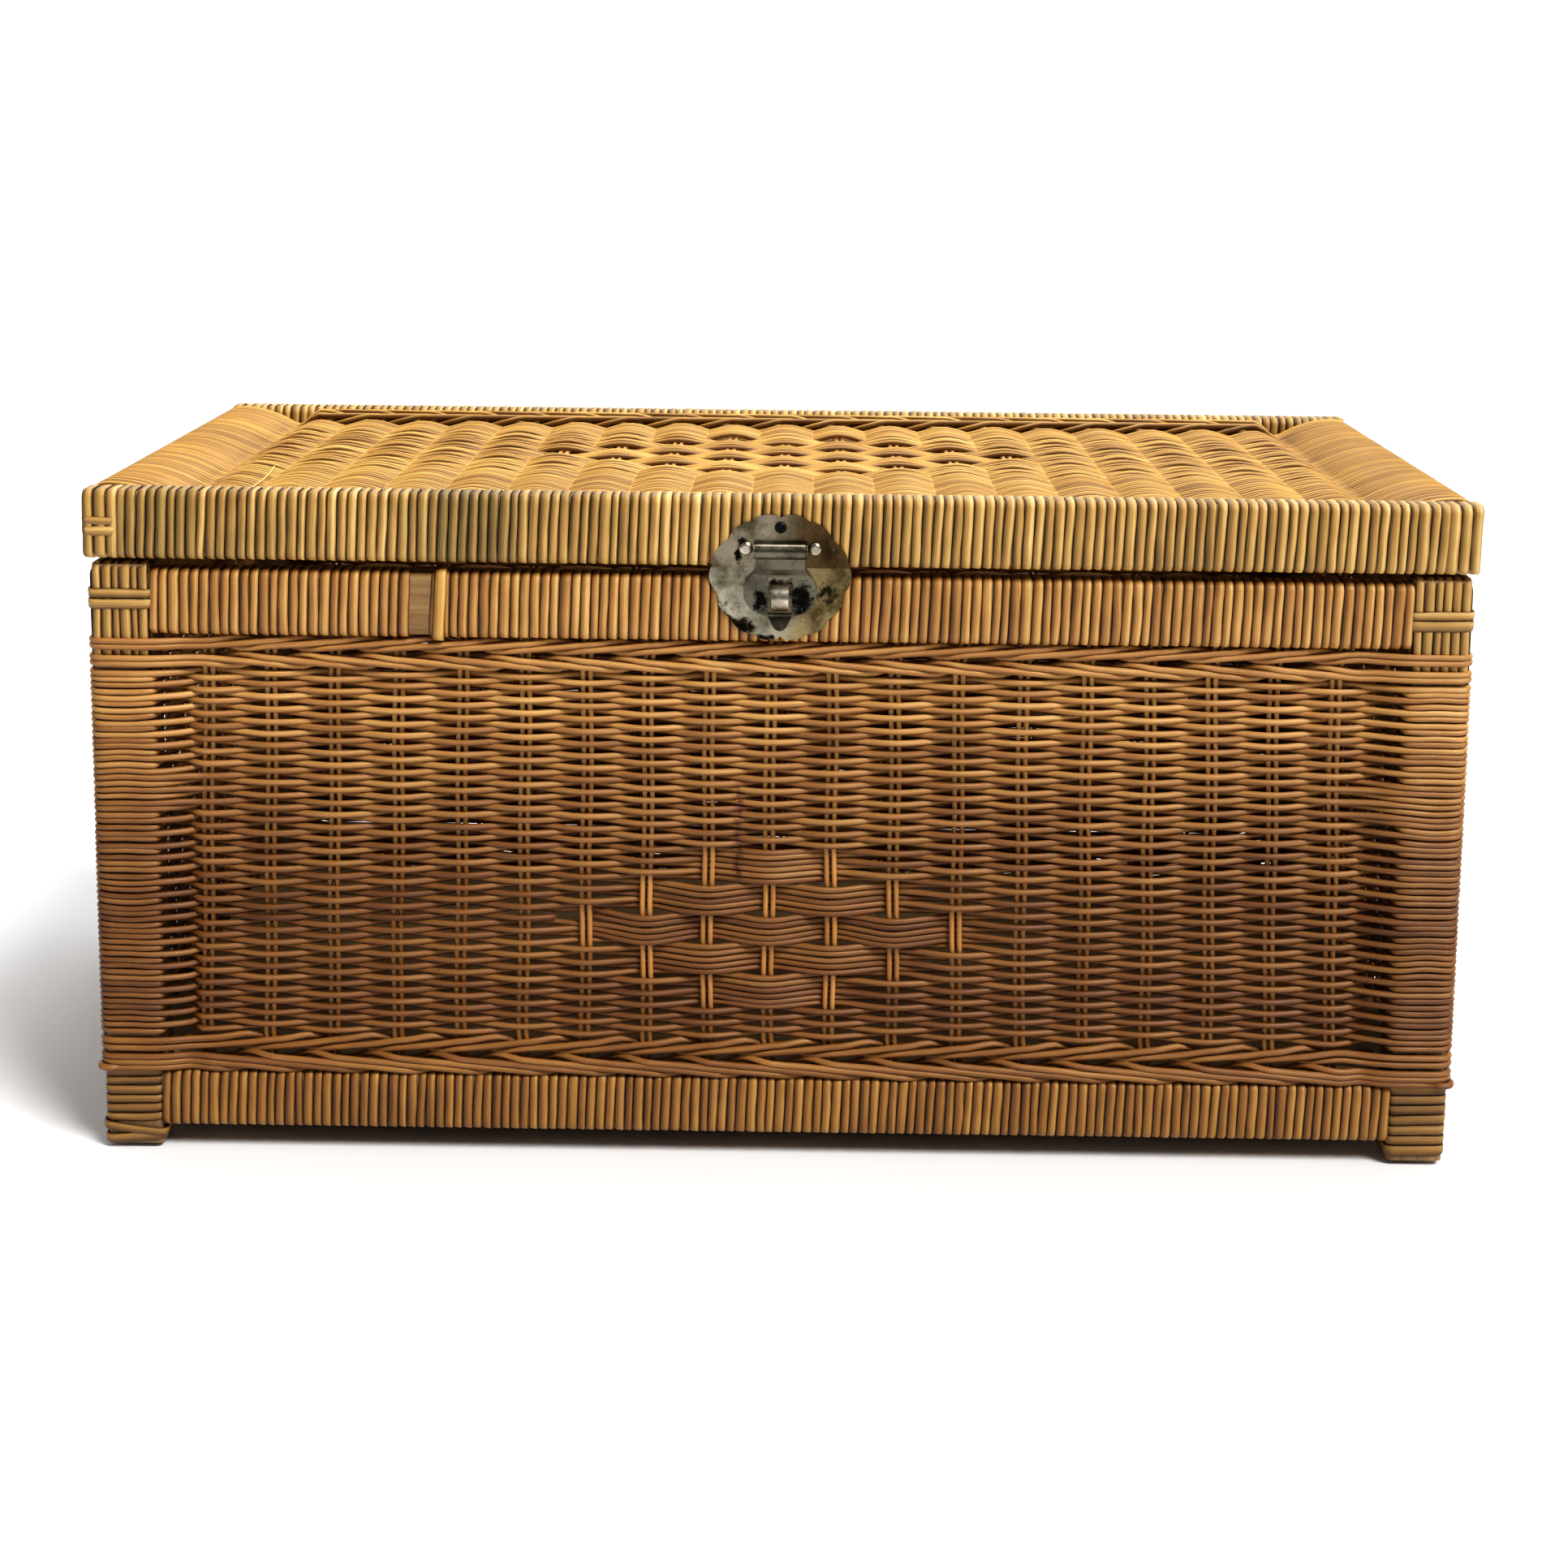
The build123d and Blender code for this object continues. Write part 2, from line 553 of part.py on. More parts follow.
# woven walls, their wales and stakes
top_wales, bottom_wales = [], []
for side in SIDES:
    weave = wall_slab(side, BOTTOM_WALE_TOP, TOP_WALE_BOTTOM, WEAVE_THICKNESS)
    save(f"weave_{side}", weave - stake_holes[side])
    save(f"stakes_{side}", *stakes[side])
    bottom_wales.append(wall_slab(side, leg_wrap_top, BOTTOM_WALE_TOP, WALE_THICKNESS) - stake_holes[side])
    top_wales.append(wall_slab(side, TOP_WALE_BOTTOM, top_wrap_bottom, WALE_THICKNESS) - stake_holes[side])
save("top_wales", *top_wales)
save("bottom_wales", *bottom_wales)

# floor
inside = WALE_THICKNESS / 2 + FLOOR_PLAY
board_low = (stake_line("left") + inside, stake_line("front") + inside, leg_wrap_top)
board_high = (stake_line("right") - inside, stake_line("rear") - inside, leg_wrap_top + FLOOR_THICKNESS)
board = block(board_low, board_high)
for x_side, y_side in CORNERS.values():
    low, high = post_box(x_side, y_side, 0, LID_TOP)
    room = ROUND_REED + FLOOR_PLAY
    board -= block((low[0] - room, low[1] - room, low[2]), (high[0] + room, high[1] + room, high[2]))
save("floor_board", board)

battens = []
for x in BATTEN_PLACES:
    y_low = FRAME_FRONT + RAIL_DEPTH + FLAT_REED
    y_high = FRAME_REAR - RAIL_DEPTH - FLAT_REED
    low = (x - BATTEN[0] / 2, y_low, leg_wrap_top - BATTEN[1])
    battens.append(block(low, (x + BATTEN[0] / 2, y_high, leg_wrap_top)))
save("floor_battens", *battens)

# latch on the body
save("latch_plate_lower", scalloped_plate(LOWER_CUSPS, LID_BOTTOM - LOWER_PLATE_DROP, BODY_FRONT) - leg_slots)
save("latch_staple", staple())

# latch on the lid
plate_face = LID_FRONT - PLATE_THICKNESS
nail_places = [(x, plate_face, HASP_AXIS_Z + NAIL_ABOVE_PIN) for x in (-NAIL_PLACE, NAIL_PLACE)]
screw_place = (0, plate_face, LID_BOTTOM + SCREW_RISE)
latch_holes = [shank_hole(place, FORWARD, NAIL_SHANK) for place in nail_places]
latch_holes.append(shank_hole(screw_place, FORWARD, SCREW_SHANK))
save("latch_plate_upper", upper_plate() - latch_holes)
save("latch_nails", *[round_head(place, FORWARD, NAIL_HEAD, NAIL_SHANK) for place in nail_places])
save("latch_screw", cross_headed(screw_place, FORWARD, SCREW_HEAD, SCREW_SHANK))
save("hasp_pin", hasp_pin())
save("hasp", hasp())

# lid rails and their binding
lid_holes = lid_stakes(SOCKET_CLEARANCE)
lid_cuts = {"front": latch_holes + lid_holes, "rear": screw_holes(1) + lid_holes}
lid_wraps = []
for side in ("front", "rear"):
    low, high = lid_rail_box(side)
    save(f"lid_rail_{side}", beam(low, high, Axis.X) - lid_cuts[side])
    lid_wraps.append(sleeve(low, high, Axis.X, FLAT_REED) - lid_cuts[side])
save("lid_rail_wraps", *lid_wraps)

lid_side_weaves, lid_corner_wraps = [], []
strand_reach = LID_RAIL_INNER - FLAT_REED
for side, x_side in (("left", -1), ("right", 1)):
    low, high = lid_rail_box(side)
    save(f"lid_rail_{side}", beam(low, high, Axis.Y))
    middle_low, middle_high = (low[0], -strand_reach, low[2]), (high[0], strand_reach, high[2])
    lid_side_weaves.append(sleeve(middle_low, middle_high, Axis.Y, ROUND_REED))
    for y_side in (-1, 1):
        lid_corner_wraps.append(lid_corner_wrap(x_side, y_side))
rail_room = [block(*lid_rail_box(side)) for side in ("front", "rear")]
save("lid_side_weaves", *lid_side_weaves)
save("lid_corner_wraps", *[wrap - rail_room - lid_wraps for wrap in lid_corner_wraps])

# lid panel
panel_reach = strand_reach - LID_WALE_WIDTH
save("lid_weave", lid_band(-panel_reach, panel_reach) - lid_holes)
lid_wales = [lid_band(-strand_reach, -panel_reach), lid_band(panel_reach, strand_reach)]
save("lid_wales", *[wale - lid_holes for wale in lid_wales])
save("lid_stakes", *lid_stakes())

# hinges
save("hinge_leaves_body", *[hinge_leaf(x, -1) for x in HINGE_PLACES])
save("hinge_leaves_lid", *[hinge_leaf(x, 1) for x in HINGE_PLACES])
save("hinge_pins", *[hinge_pin(x) for x in HINGE_PLACES])
for name, up in (("body", -1), ("lid", 1)):
    places = [place for x in HINGE_PLACES for place in hinge_screws(x, up)]
    screws = [round_head(place, BACKWARD, HINGE_SCREW_HEAD, HINGE_SCREW_SHANK) for place in places]
    save(f"hinge_screws_{name}", *screws)
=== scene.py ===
import math

import bpy
import numpy as np
from mathutils import Euler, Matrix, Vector


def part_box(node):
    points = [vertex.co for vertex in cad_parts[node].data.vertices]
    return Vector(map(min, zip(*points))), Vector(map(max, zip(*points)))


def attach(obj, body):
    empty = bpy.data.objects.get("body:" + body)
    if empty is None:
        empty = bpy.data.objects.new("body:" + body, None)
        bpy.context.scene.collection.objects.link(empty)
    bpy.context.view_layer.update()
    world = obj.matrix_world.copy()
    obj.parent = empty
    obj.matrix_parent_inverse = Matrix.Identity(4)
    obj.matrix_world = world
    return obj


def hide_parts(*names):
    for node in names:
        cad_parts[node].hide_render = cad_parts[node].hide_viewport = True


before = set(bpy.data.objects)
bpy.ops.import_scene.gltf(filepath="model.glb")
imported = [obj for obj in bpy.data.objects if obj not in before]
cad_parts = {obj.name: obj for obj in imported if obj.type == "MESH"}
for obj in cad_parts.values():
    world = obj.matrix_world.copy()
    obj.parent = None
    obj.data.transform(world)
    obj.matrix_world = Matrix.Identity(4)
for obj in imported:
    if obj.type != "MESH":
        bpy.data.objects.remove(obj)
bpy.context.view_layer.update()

# A wicker storage trunk. Every weaver, stake and strip of reed is its own solid, laid along a path
# that is worked out from the CAD boxes. Lengths are in millimetres until a mesh is made.

MM = 0.001

# ---- reed ----
WEAVER_RADIUS = 1.9
WALE_RADIUS = 2.0
WALE_GAP = 1.7
STAKE_RADIUS = 1.6
PAIR_HALF = 2.25
STRIP_WIDTH = 5.9
STRIP_THICKNESS = 1.5
TUBE_SIDES = 8
# the most strands in one piece, so that it can be exported
MAX_STRANDS = 34
MAX_LID_STRANDS = 32
# half the length over which a strand lies flat across a pair of stakes
STAKE_GRIP = 2.4


# ---- places read from the CAD model ----
def cad(*nodes):
    """The lowest and highest corner of one or several CAD nodes."""
    boxes = [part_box(node) for node in nodes]
    low = np.min([np.array(low) for low, _ in boxes], axis=0)
    high = np.max([np.array(high) for _, high in boxes], axis=0)
    return low / MM, high / MM


# ---- paths ----
def smooth_path(knots, per_span=3):
    """A smooth line through knots, with per_span points on each span."""
    k = np.asarray(knots, float)
    step = np.diff(k, axis=0)
    length = np.maximum(np.linalg.norm(step, axis=1, keepdims=True), 1e-6)
    slope = step / length
    inner = (length[1:] * slope[:-1] + length[:-1] * slope[1:]) / (length[1:] + length[:-1])
    tangent = np.vstack([slope[:1], inner, slope[-1:]])
    t = np.linspace(0, 1, per_span, endpoint=False)[None, :, None]
    a, b = k[:-1, None], k[1:, None]
    leave, arrive = tangent[:-1, None] * length[:, None], tangent[1:, None] * length[:, None]
    line = (2 * t**3 - 3 * t**2 + 1) * a + (t**3 - 2 * t**2 + t) * leave
    line = line + (3 * t**2 - 2 * t**3) * b + (t**3 - t**2) * arrive
    return np.vstack([line.reshape(-1, k.shape[1]), k[-1:]])


def along_path(points):
    """The distance run along a path at each of its points."""
    return np.concatenate([[0], np.cumsum(np.linalg.norm(np.diff(points, axis=0), axis=1))])


# ---- meshes ----
def build_mesh(name, points, quads, caps, tone, fibre, material, body, replaces=()):
    """A smooth-shaded mesh in the trunk's frame, with the values that its reed shader reads."""
    mesh = bpy.data.meshes.new(name)
    faces = [q for q in (quads, *caps) if len(q)]
    loops = np.concatenate([f.ravel() for f in faces]).astype(np.int32)
    sizes = np.concatenate([np.full(len(f), f.shape[1]) for f in faces]).astype(np.int32)
    starts = np.concatenate([[0], np.cumsum(sizes)[:-1]]).astype(np.int32)
    mesh.vertices.add(len(points))
    mesh.vertices.foreach_set("co", (points * MM).astype(np.float32).ravel())
    mesh.loops.add(len(loops))
    mesh.loops.foreach_set("vertex_index", loops)
    mesh.polygons.add(len(sizes))
    mesh.polygons.foreach_set("loop_start", starts)
    mesh.polygons.foreach_set("use_smooth", np.ones(len(sizes), bool))
    mesh.update(calc_edges=True)
    mesh.attributes.new("tone", "FLOAT", "POINT").data.foreach_set("value", tone.astype(np.float32))
    fibre_layer = mesh.attributes.new("fibre", "FLOAT_VECTOR", "POINT")
    fibre_layer.data.foreach_set("vector", fibre.astype(np.float32).ravel())
    mesh.materials.append(material)
    piece = bpy.data.objects.new(name, mesh)
    bpy.context.scene.collection.objects.link(piece)
    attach(piece, body)
    if replaces:
        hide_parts(*replaces)
    return piece


def tube(points, radius, tone, up, number, sides=TUBE_SIDES):
    """One round strand: its points, faces and shader values."""
    points = np.asarray(points, float)
    n = len(points)
    ahead = np.gradient(points, axis=0)
    ahead /= np.linalg.norm(ahead, axis=1, keepdims=True)
    side = np.asarray(up, float) - ahead * (ahead @ np.asarray(up, float))[:, None]
    side /= np.linalg.norm(side, axis=1, keepdims=True)
    other = np.cross(ahead, side)
    angle = np.arange(sides) * 2 * math.pi / sides
    radius = np.broadcast_to(radius, n)[:, None, None]
    ring = np.cos(angle)[None, :, None] * side[:, None] + np.sin(angle)[None, :, None] * other[:, None]
    verts = (points[:, None] + radius * ring).reshape(-1, 3)
    start = (np.arange(n - 1) * sides)[:, None]
    this, after = np.arange(sides)[None], (np.arange(sides)[None] + 1) % sides
    quads = np.stack([start + this, start + after, start + sides + after, start + sides + this], -1)
    caps = np.array([np.arange(sides)[::-1], (n - 1) * sides + np.arange(sides)])
    run = along_path(points) + 173.0 * number
    fibre = np.empty((n, sides, 3))
    fibre[..., 0] = np.cos(angle)[None] * radius[..., 0]
    fibre[..., 1] = np.sin(angle)[None] * radius[..., 0]
    fibre[..., 2] = run[:, None]
    tones = np.repeat(np.broadcast_to(tone, n), sides)
    return verts, quads.reshape(-1, 4), caps, tones, fibre.reshape(-1, 3)


def strip(ring, outward, across, width, thickness, tone, number):
    """One flat strip laid round a closed ring of points. Its right edge stands a little proud."""
    n = len(ring)
    # the strip's section, as shares of its half width and of its thickness
    reach = np.array([-1, -0.9, -0.6, 0, 0.55, 0.9, 1])
    rise = np.array([0, 0.4, 0.7, 0.88, 1.0, 0.82, 0.1])
    k = len(reach)
    half = np.broadcast_to(width, n)[:, None, None] / 2
    verts = ring[:, None] + across[None, None] * (reach[None, :, None] * half)
    verts = verts + outward[:, None] * (rise[None, :, None] * thickness)
    start = (np.arange(n) * k)[:, None]
    after = ((np.arange(n) + 1) % n * k)[:, None]
    this, right = np.arange(k)[None], (np.arange(k)[None] + 1) % k
    quads = np.stack([start + this, start + right, after + right, after + this], -1)
    fibre = np.empty((n, k, 3))
    fibre[..., 0] = reach[None] * half[..., 0]
    fibre[..., 1] = rise[None]
    fibre[..., 2] = (along_path(ring) + 211.0 * number)[:, None]
    return verts.reshape(-1, 3), quads.reshape(-1, 4), None, np.full(n * k, tone), fibre.reshape(-1, 3)


def join(name, parts, material, body, replaces=()):
    """Many strands or strips as one piece."""
    base, points, quads, caps, tones, fibres = 0, [], [], [], [], []
    for verts, faces, ends, tone, fibre in parts:
        points.append(verts)
        quads.append(faces + base)
        if ends is not None:
            caps.append(ends + base)
        tones.append(tone)
        fibres.append(fibre)
        base += len(verts)
    caps = [np.vstack(caps)] if caps else []
    return build_mesh(
        name,
        np.vstack(points),
        np.vstack(quads),
        caps,
        np.concatenate(tones),
        np.vstack(fibres),
        material,
        body,
        replaces,
    )


# ---- shaders ----
class Shader:
    """A small helper that adds nodes to one procedural material."""

    def __init__(self, name):
        self.material = bpy.data.materials.new(name)
        self.material.use_nodes = True
        self.tree = self.material.node_tree
        self.tree.nodes.clear()
        output = self.tree.nodes.new("ShaderNodeOutputMaterial")
        self.surface = self.tree.nodes.new("ShaderNodeBsdfPrincipled")
        self.tree.links.new(self.surface.outputs[0], output.inputs[0])

    def put(self, socket, value):
        """Links an output to a socket, or sets a plain value on it."""
        if isinstance(value, bpy.types.NodeSocket):
            self.tree.links.new(value, socket)
        else:
            socket.default_value = value

    def add(self, kind, inputs=None, **settings):
        node = self.tree.nodes.new(kind)
        for key, value in settings.items():
            setattr(node, key, value)
        for key, value in (inputs or {}).items():
            self.put(node.inputs[key], value)
        return node

    def attribute(self, name, output):
        return self.add("ShaderNodeAttribute", attribute_name=name).outputs[output]

    def place(self):
        return self.add("ShaderNodeTexCoord").outputs["Object"]

    def stretch(self, vector, scale):
        return self.add("ShaderNodeMapping", {"Vector": vector, "Scale": scale}).outputs[0]

    def noise(self, vector, scale=1.0, detail=3.0, roughness=0.55):
        values = {"Vector": vector, "Scale": scale, "Detail": detail, "Roughness": roughness}
        return self.add("ShaderNodeTexNoise", values).outputs["Fac"]

    def sum(self, *terms):
        """A weighted sum of (weight, output) terms."""
        total = None
        for weight, term in terms:
            part = self.math("MULTIPLY", term, weight)
            total = part if total is None else self.math("ADD", total, part)
        return total

    def math(self, operation, a, b, clamp=False):
        return self.add("ShaderNodeMath", {0: a, 1: b}, operation=operation, use_clamp=clamp).outputs[0]

    def span(self, value, low, high, to_low=0.0, to_high=1.0):
        values = {"Value": value, "From Min": low, "From Max": high, "To Min": to_low, "To Max": to_high}
        return self.add("ShaderNodeMapRange", values).outputs[0]

    def ramp(self, value, *stops):
        node = self.add("ShaderNodeValToRGB", {"Fac": value})
        elements = node.color_ramp.elements
        while len(elements) < len(stops):
            elements.new(0.5)
        for element, (position, colour) in zip(elements, stops):
            element.position = position
            element.color = (*colour, 1)
        return node.outputs["Color"]

    def mix(self, factor, a, b, blend="MIX"):
        node = self.add("ShaderNodeMix", data_type="RGBA", blend_type=blend)
        for index, value in ((0, factor), (6, a), (7, b)):
            if isinstance(value, tuple):
                value = (*value, 1)
            self.put(node.inputs[index], value)
        return node.outputs[2]

    def bump(self, height, strength, distance):
        values = {"Height": height, "Strength": strength, "Distance": distance}
        return self.add("ShaderNodeBump", values).outputs[0]

    def finish(self, colour, roughness, bump=None, **plain):
        self.put(self.surface.inputs["Base Color"], colour)
        self.put(self.surface.inputs["Roughness"], roughness)
        if bump is not None:
            self.put(self.surface.inputs["Normal"], bump)
        for key, value in plain.items():
            self.surface.inputs[key.replace("_", " ")].default_value = value
        return self.material


def reed(name, dark, mid, light, pale, tone_share=0.4, low_shade_tint=None, stained=0.0, painted_shade_band=None, run=None):
    """Aged reed: a tone for each strand, streaks along its fibres, stains and small dark flecks. A tone below
    0 is reed that has gone grey. The low tint is painted shade: it darkens what is low on the trunk. The
    shade band is the range of the fibre's first or second part over which painted shade fades out; on the
    second part it also paints a highlight near the top of a strip's rise. run is where something dark has run
    down the front: its x, lowest and highest z in metres."""
    s = Shader(name)
    fibre = s.attribute("fibre", "Vector")
    tone = s.attribute("tone", "Fac")
    place = s.place()
    streak = s.noise(s.stretch(fibre, (0.75, 0.75, 0.012)), detail=2.0)
    fine = s.noise(s.stretch(fibre, (3.2, 3.2, 0.05)), detail=3.0)
    drift = s.noise(s.stretch(fibre, (0.05, 0.05, 0.02)), detail=2.0)
    blotch = s.noise(place, scale=16.0, detail=3.0)
    weathered = s.span(tone, 0.0, -1.0)
    shade = s.math("ADD", s.math("MAXIMUM", tone, 0.0), s.math("MULTIPLY", weathered, 0.25))
    value = s.sum((tone_share, shade), (0.4, streak), (0.4, fine), (0.4, drift), (0.4, blotch))
    # painted highlight: a strip is lighter near the top of its raised right edge and darker below it
    if painted_shade_band is not None and painted_shade_band[0] == "Y":
        highlight_rise = s.add("ShaderNodeSeparateXYZ", {0: fibre}).outputs["Y"]
        value = s.sum((1.0, value), (1.0, s.span(highlight_rise, 0.7, 1.0, -0.26, 0.24)))
    middle_value = 0.8 + tone_share / 2
    value = s.span(value, middle_value - 0.42, middle_value + 0.42)
    colour = s.ramp(value, (0.0, dark), (0.36, mid), (0.66, light), (1.0, pale))
    # painted shade: the reed is darker towards the bottom of the trunk
    if low_shade_tint is not None:
        height = s.add("ShaderNodeSeparateXYZ", {0: place}).outputs["Z"]
        colour = s.mix(s.span(height, 0.28, 0.16), colour, s.mix(1.0, colour, low_shade_tint, "MULTIPLY"))
    if run is not None:
        spot = s.add("ShaderNodeSeparateXYZ", {0: place}).outputs
        amount = s.span(s.math("ABSOLUTE", s.math("SUBTRACT", spot["X"], run[0]), 0.0), 0.0042, 0.001)
        amount = s.math("MULTIPLY", amount, s.span(spot["Z"], run[1], run[1] + 0.006))
        amount = s.math("MULTIPLY", amount, s.span(spot["Z"], run[2], run[2] - 0.012))
        amount = s.math("MULTIPLY", amount, s.span(spot["Y"], -0.19, -0.2))
        amount = s.math("MULTIPLY", amount, s.span(s.noise(place, scale=260.0), 0.35, 0.55))
        colour = s.mix(amount, colour, s.mix(1.0, colour, (0.4, 0.2, 0.17), "MULTIPLY"))
    stain = s.span(s.noise(place, scale=9.0, detail=4.0), 0.56, 0.66, 0.0, stained)
    stain = s.math("MAXIMUM", stain, weathered)
    colour = s.mix(stain, colour, s.mix(1.0, colour, (0.56, 0.64, 0.62), "MULTIPLY"))
    specks = s.noise(s.stretch(fibre, (1.1, 1.1, 0.35)), detail=2.0, roughness=0.7)
    speck_colour = s.mix(1.0, colour, (0.35, 0.28, 0.22), "MULTIPLY")
    colour = s.mix(s.span(specks, 0.7, 0.77), colour, speck_colour)
    # painted shade: darkens strand undersides, the sides where lid strands touch and the low edges of strips,
    # by the fibre's place round the strand
    if painted_shade_band is not None:
        part, shaded_end, lit_end, amount = painted_shade_band
        depth = s.add("ShaderNodeSeparateXYZ", {0: fibre}).outputs[part]
        if shaded_end > lit_end:
            depth = s.math("ABSOLUTE", depth, 0.0)
        painted_shade_colour = s.mix(1.0, colour, (0.36, 0.3, 0.24), "MULTIPLY")
        colour = s.mix(s.span(depth, shaded_end, lit_end, amount, 0.0), colour, painted_shade_colour)
    rough = s.span(streak, 0.3, 0.7, 0.6, 0.42)
    height = s.sum((0.6, streak), (0.4, fine))
    return s.finish(colour, rough, s.bump(height, 0.6, 0.0006), Specular_IOR_Level=0.6)


# where painted shade lies: under the wall strands, on the sides where lid strands touch, and at the strips'
# low edges; each gives the part of the fibre vector, its values at the shaded end and at the lit end, and the
# strength
UNDERSIDE = ("X", -1.7, 0.7, 0.75)
SIDES = ("X", 1.6, 0.8, 1.0)
STRIP_EDGE = ("Y", 0.25, 0.7, 1.0)

weaver_reed = reed(
    "weaver reed", (0.17, 0.065, 0.016), (0.38, 0.18, 0.052), (0.56, 0.31, 0.10), (0.74, 0.49, 0.2),
    tone_share=0.3, low_shade_tint=(0.47, 0.38, 0.28), painted_shade_band=UNDERSIDE, run=(-0.0235, 0.168, 0.236),
)
wale_reed = reed(
    "bottom wale reed", (0.17, 0.065, 0.016), (0.38, 0.18, 0.052), (0.56, 0.31, 0.10), (0.74, 0.49, 0.2),
    tone_share=0.3, low_shade_tint=(0.62, 0.54, 0.4), painted_shade_band=UNDERSIDE,
)
lid_reed = reed(
    "lid reed", (0.22, 0.10, 0.02), (0.42, 0.222, 0.04), (0.57, 0.33, 0.07), (0.78, 0.53, 0.15),
    tone_share=0.42, painted_shade_band=SIDES,
)
wrap_reed = reed(
    "rail wrap reed", (0.12, 0.048, 0.010), (0.30, 0.14, 0.034), (0.46, 0.25, 0.07), (0.66, 0.43, 0.16),
    tone_share=0.26, low_shade_tint=(0.69, 0.62, 0.42), painted_shade_band=STRIP_EDGE,
)
loose_reed = reed(
    "loose strip reed", (0.22, 0.1, 0.02), (0.44, 0.24, 0.06), (0.62, 0.38, 0.11), (0.78, 0.55, 0.22),
    tone_share=0.1, painted_shade_band=STRIP_EDGE,
)
lid_wrap_reed = reed(
    "lid wrap reed", (0.11, 0.06, 0.014), (0.31, 0.175, 0.045), (0.50, 0.305, 0.09), (0.78, 0.56, 0.24),
    tone_share=0.22, stained=0.35, painted_shade_band=STRIP_EDGE,
)
post_wrap_reed = reed(
    "post wrap reed", (0.12, 0.06, 0.014), (0.29, 0.16, 0.042), (0.45, 0.27, 0.08), (0.66, 0.44, 0.17),
    tone_share=0.2, low_shade_tint=(0.62, 0.54, 0.42), stained=0.5, painted_shade_band=STRIP_EDGE,
)
stake_reed = reed(
    "stake reed", (0.22, 0.10, 0.028), (0.42, 0.23, 0.07), (0.6, 0.36, 0.13), (0.76, 0.53, 0.24),
    tone_share=0.2, low_shade_tint=(0.8, 0.66, 0.5),
)


def plain_wood(name, dark, light, along):
    """Sawn wood with grain along one axis: 0 for X, 1 for Y, 2 for Z."""
    s = Shader(name)
    place = s.place()
    scale = [220.0, 220.0, 220.0]
    scale[along] = 9.0
    grain = s.noise(s.stretch(place, scale), detail=4.0, roughness=0.6)
    coarse = s.noise(s.stretch(place, [part * 0.2 for part in scale]), detail=3.0)
    value = s.span(s.sum((0.6, grain), (0.6, coarse)), 0.42, 0.8)
    colour = s.ramp(value, (0.0, dark), (1.0, light))
    return s.finish(colour, s.span(grain, 0.3, 0.7, 0.75, 0.6), s.bump(grain, 0.4, 0.0005))


def nickel(name, bright, dull, tarnish, amount, roughness, right_tint=None, black=()):
    """Worn nickel plate: cloudy bright and dull areas, brown tarnish, fine scratches and black patches.
    Each patch in black is its middle's x and z and its half sizes, in metres."""
    s = Shader(name)
    place = s.place()
    cloud = s.noise(place, scale=42.0, detail=5.0, roughness=0.65)
    patch = s.noise(place, scale=19.0, detail=5.0, roughness=0.7)
    pitting = s.noise(place, scale=420.0, detail=3.0, roughness=0.7)
    flakes = s.noise(place, scale=210.0, detail=5.0, roughness=0.75)
    scratch = s.noise(s.stretch(place, (900.0, 60.0, 260.0)), detail=2.0)
    colour = s.ramp(cloud, (0.38, dull), (0.58, bright))
    x, _, z = s.add("ShaderNodeSeparateXYZ", {0: place}).outputs
    if right_tint is not None:
        right = s.span(s.math("ADD", x, s.math("MULTIPLY", cloud, 0.03)), 0.01, 0.03)
        colour = s.mix(right, colour, s.mix(1.0, colour, right_tint, "MULTIPLY"))
    colour = s.mix(s.span(patch, 0.62 - amount, 0.67 - amount), colour, tarnish)
    colour = s.mix(s.span(pitting, 0.62, 0.7, 0.0, 0.7), colour, (0.06, 0.05, 0.035))
    for x_middle, z_middle, x_half, z_half in black:
        across = s.math("DIVIDE", s.math("SUBTRACT", x, x_middle), x_half)
        up = s.math("DIVIDE", s.math("SUBTRACT", z, z_middle), z_half)
        distance = s.math("ADD", s.math("POWER", across, 2.0), s.math("POWER", up, 2.0))
        ragged = s.math("ADD", distance, s.math("MULTIPLY", s.math("SUBTRACT", flakes, 0.5), 6.0))
        colour = s.mix(s.span(ragged, 1.5, 0.5), colour, (0.012, 0.011, 0.01))
    colour = s.mix(s.span(scratch, 0.66, 0.72, 0.0, 0.5), colour, bright)
    rough = s.sum((0.5, cloud), (0.3, patch), (0.2, scratch))
    rough = s.span(rough, 0.3, 0.7, roughness - 0.12, roughness + 0.2)
    height = s.sum((0.5, pitting), (0.3, cloud), (0.2, scratch))
    return s.finish(colour, rough, s.bump(height, 0.5, 0.0004), Metallic=1.0)


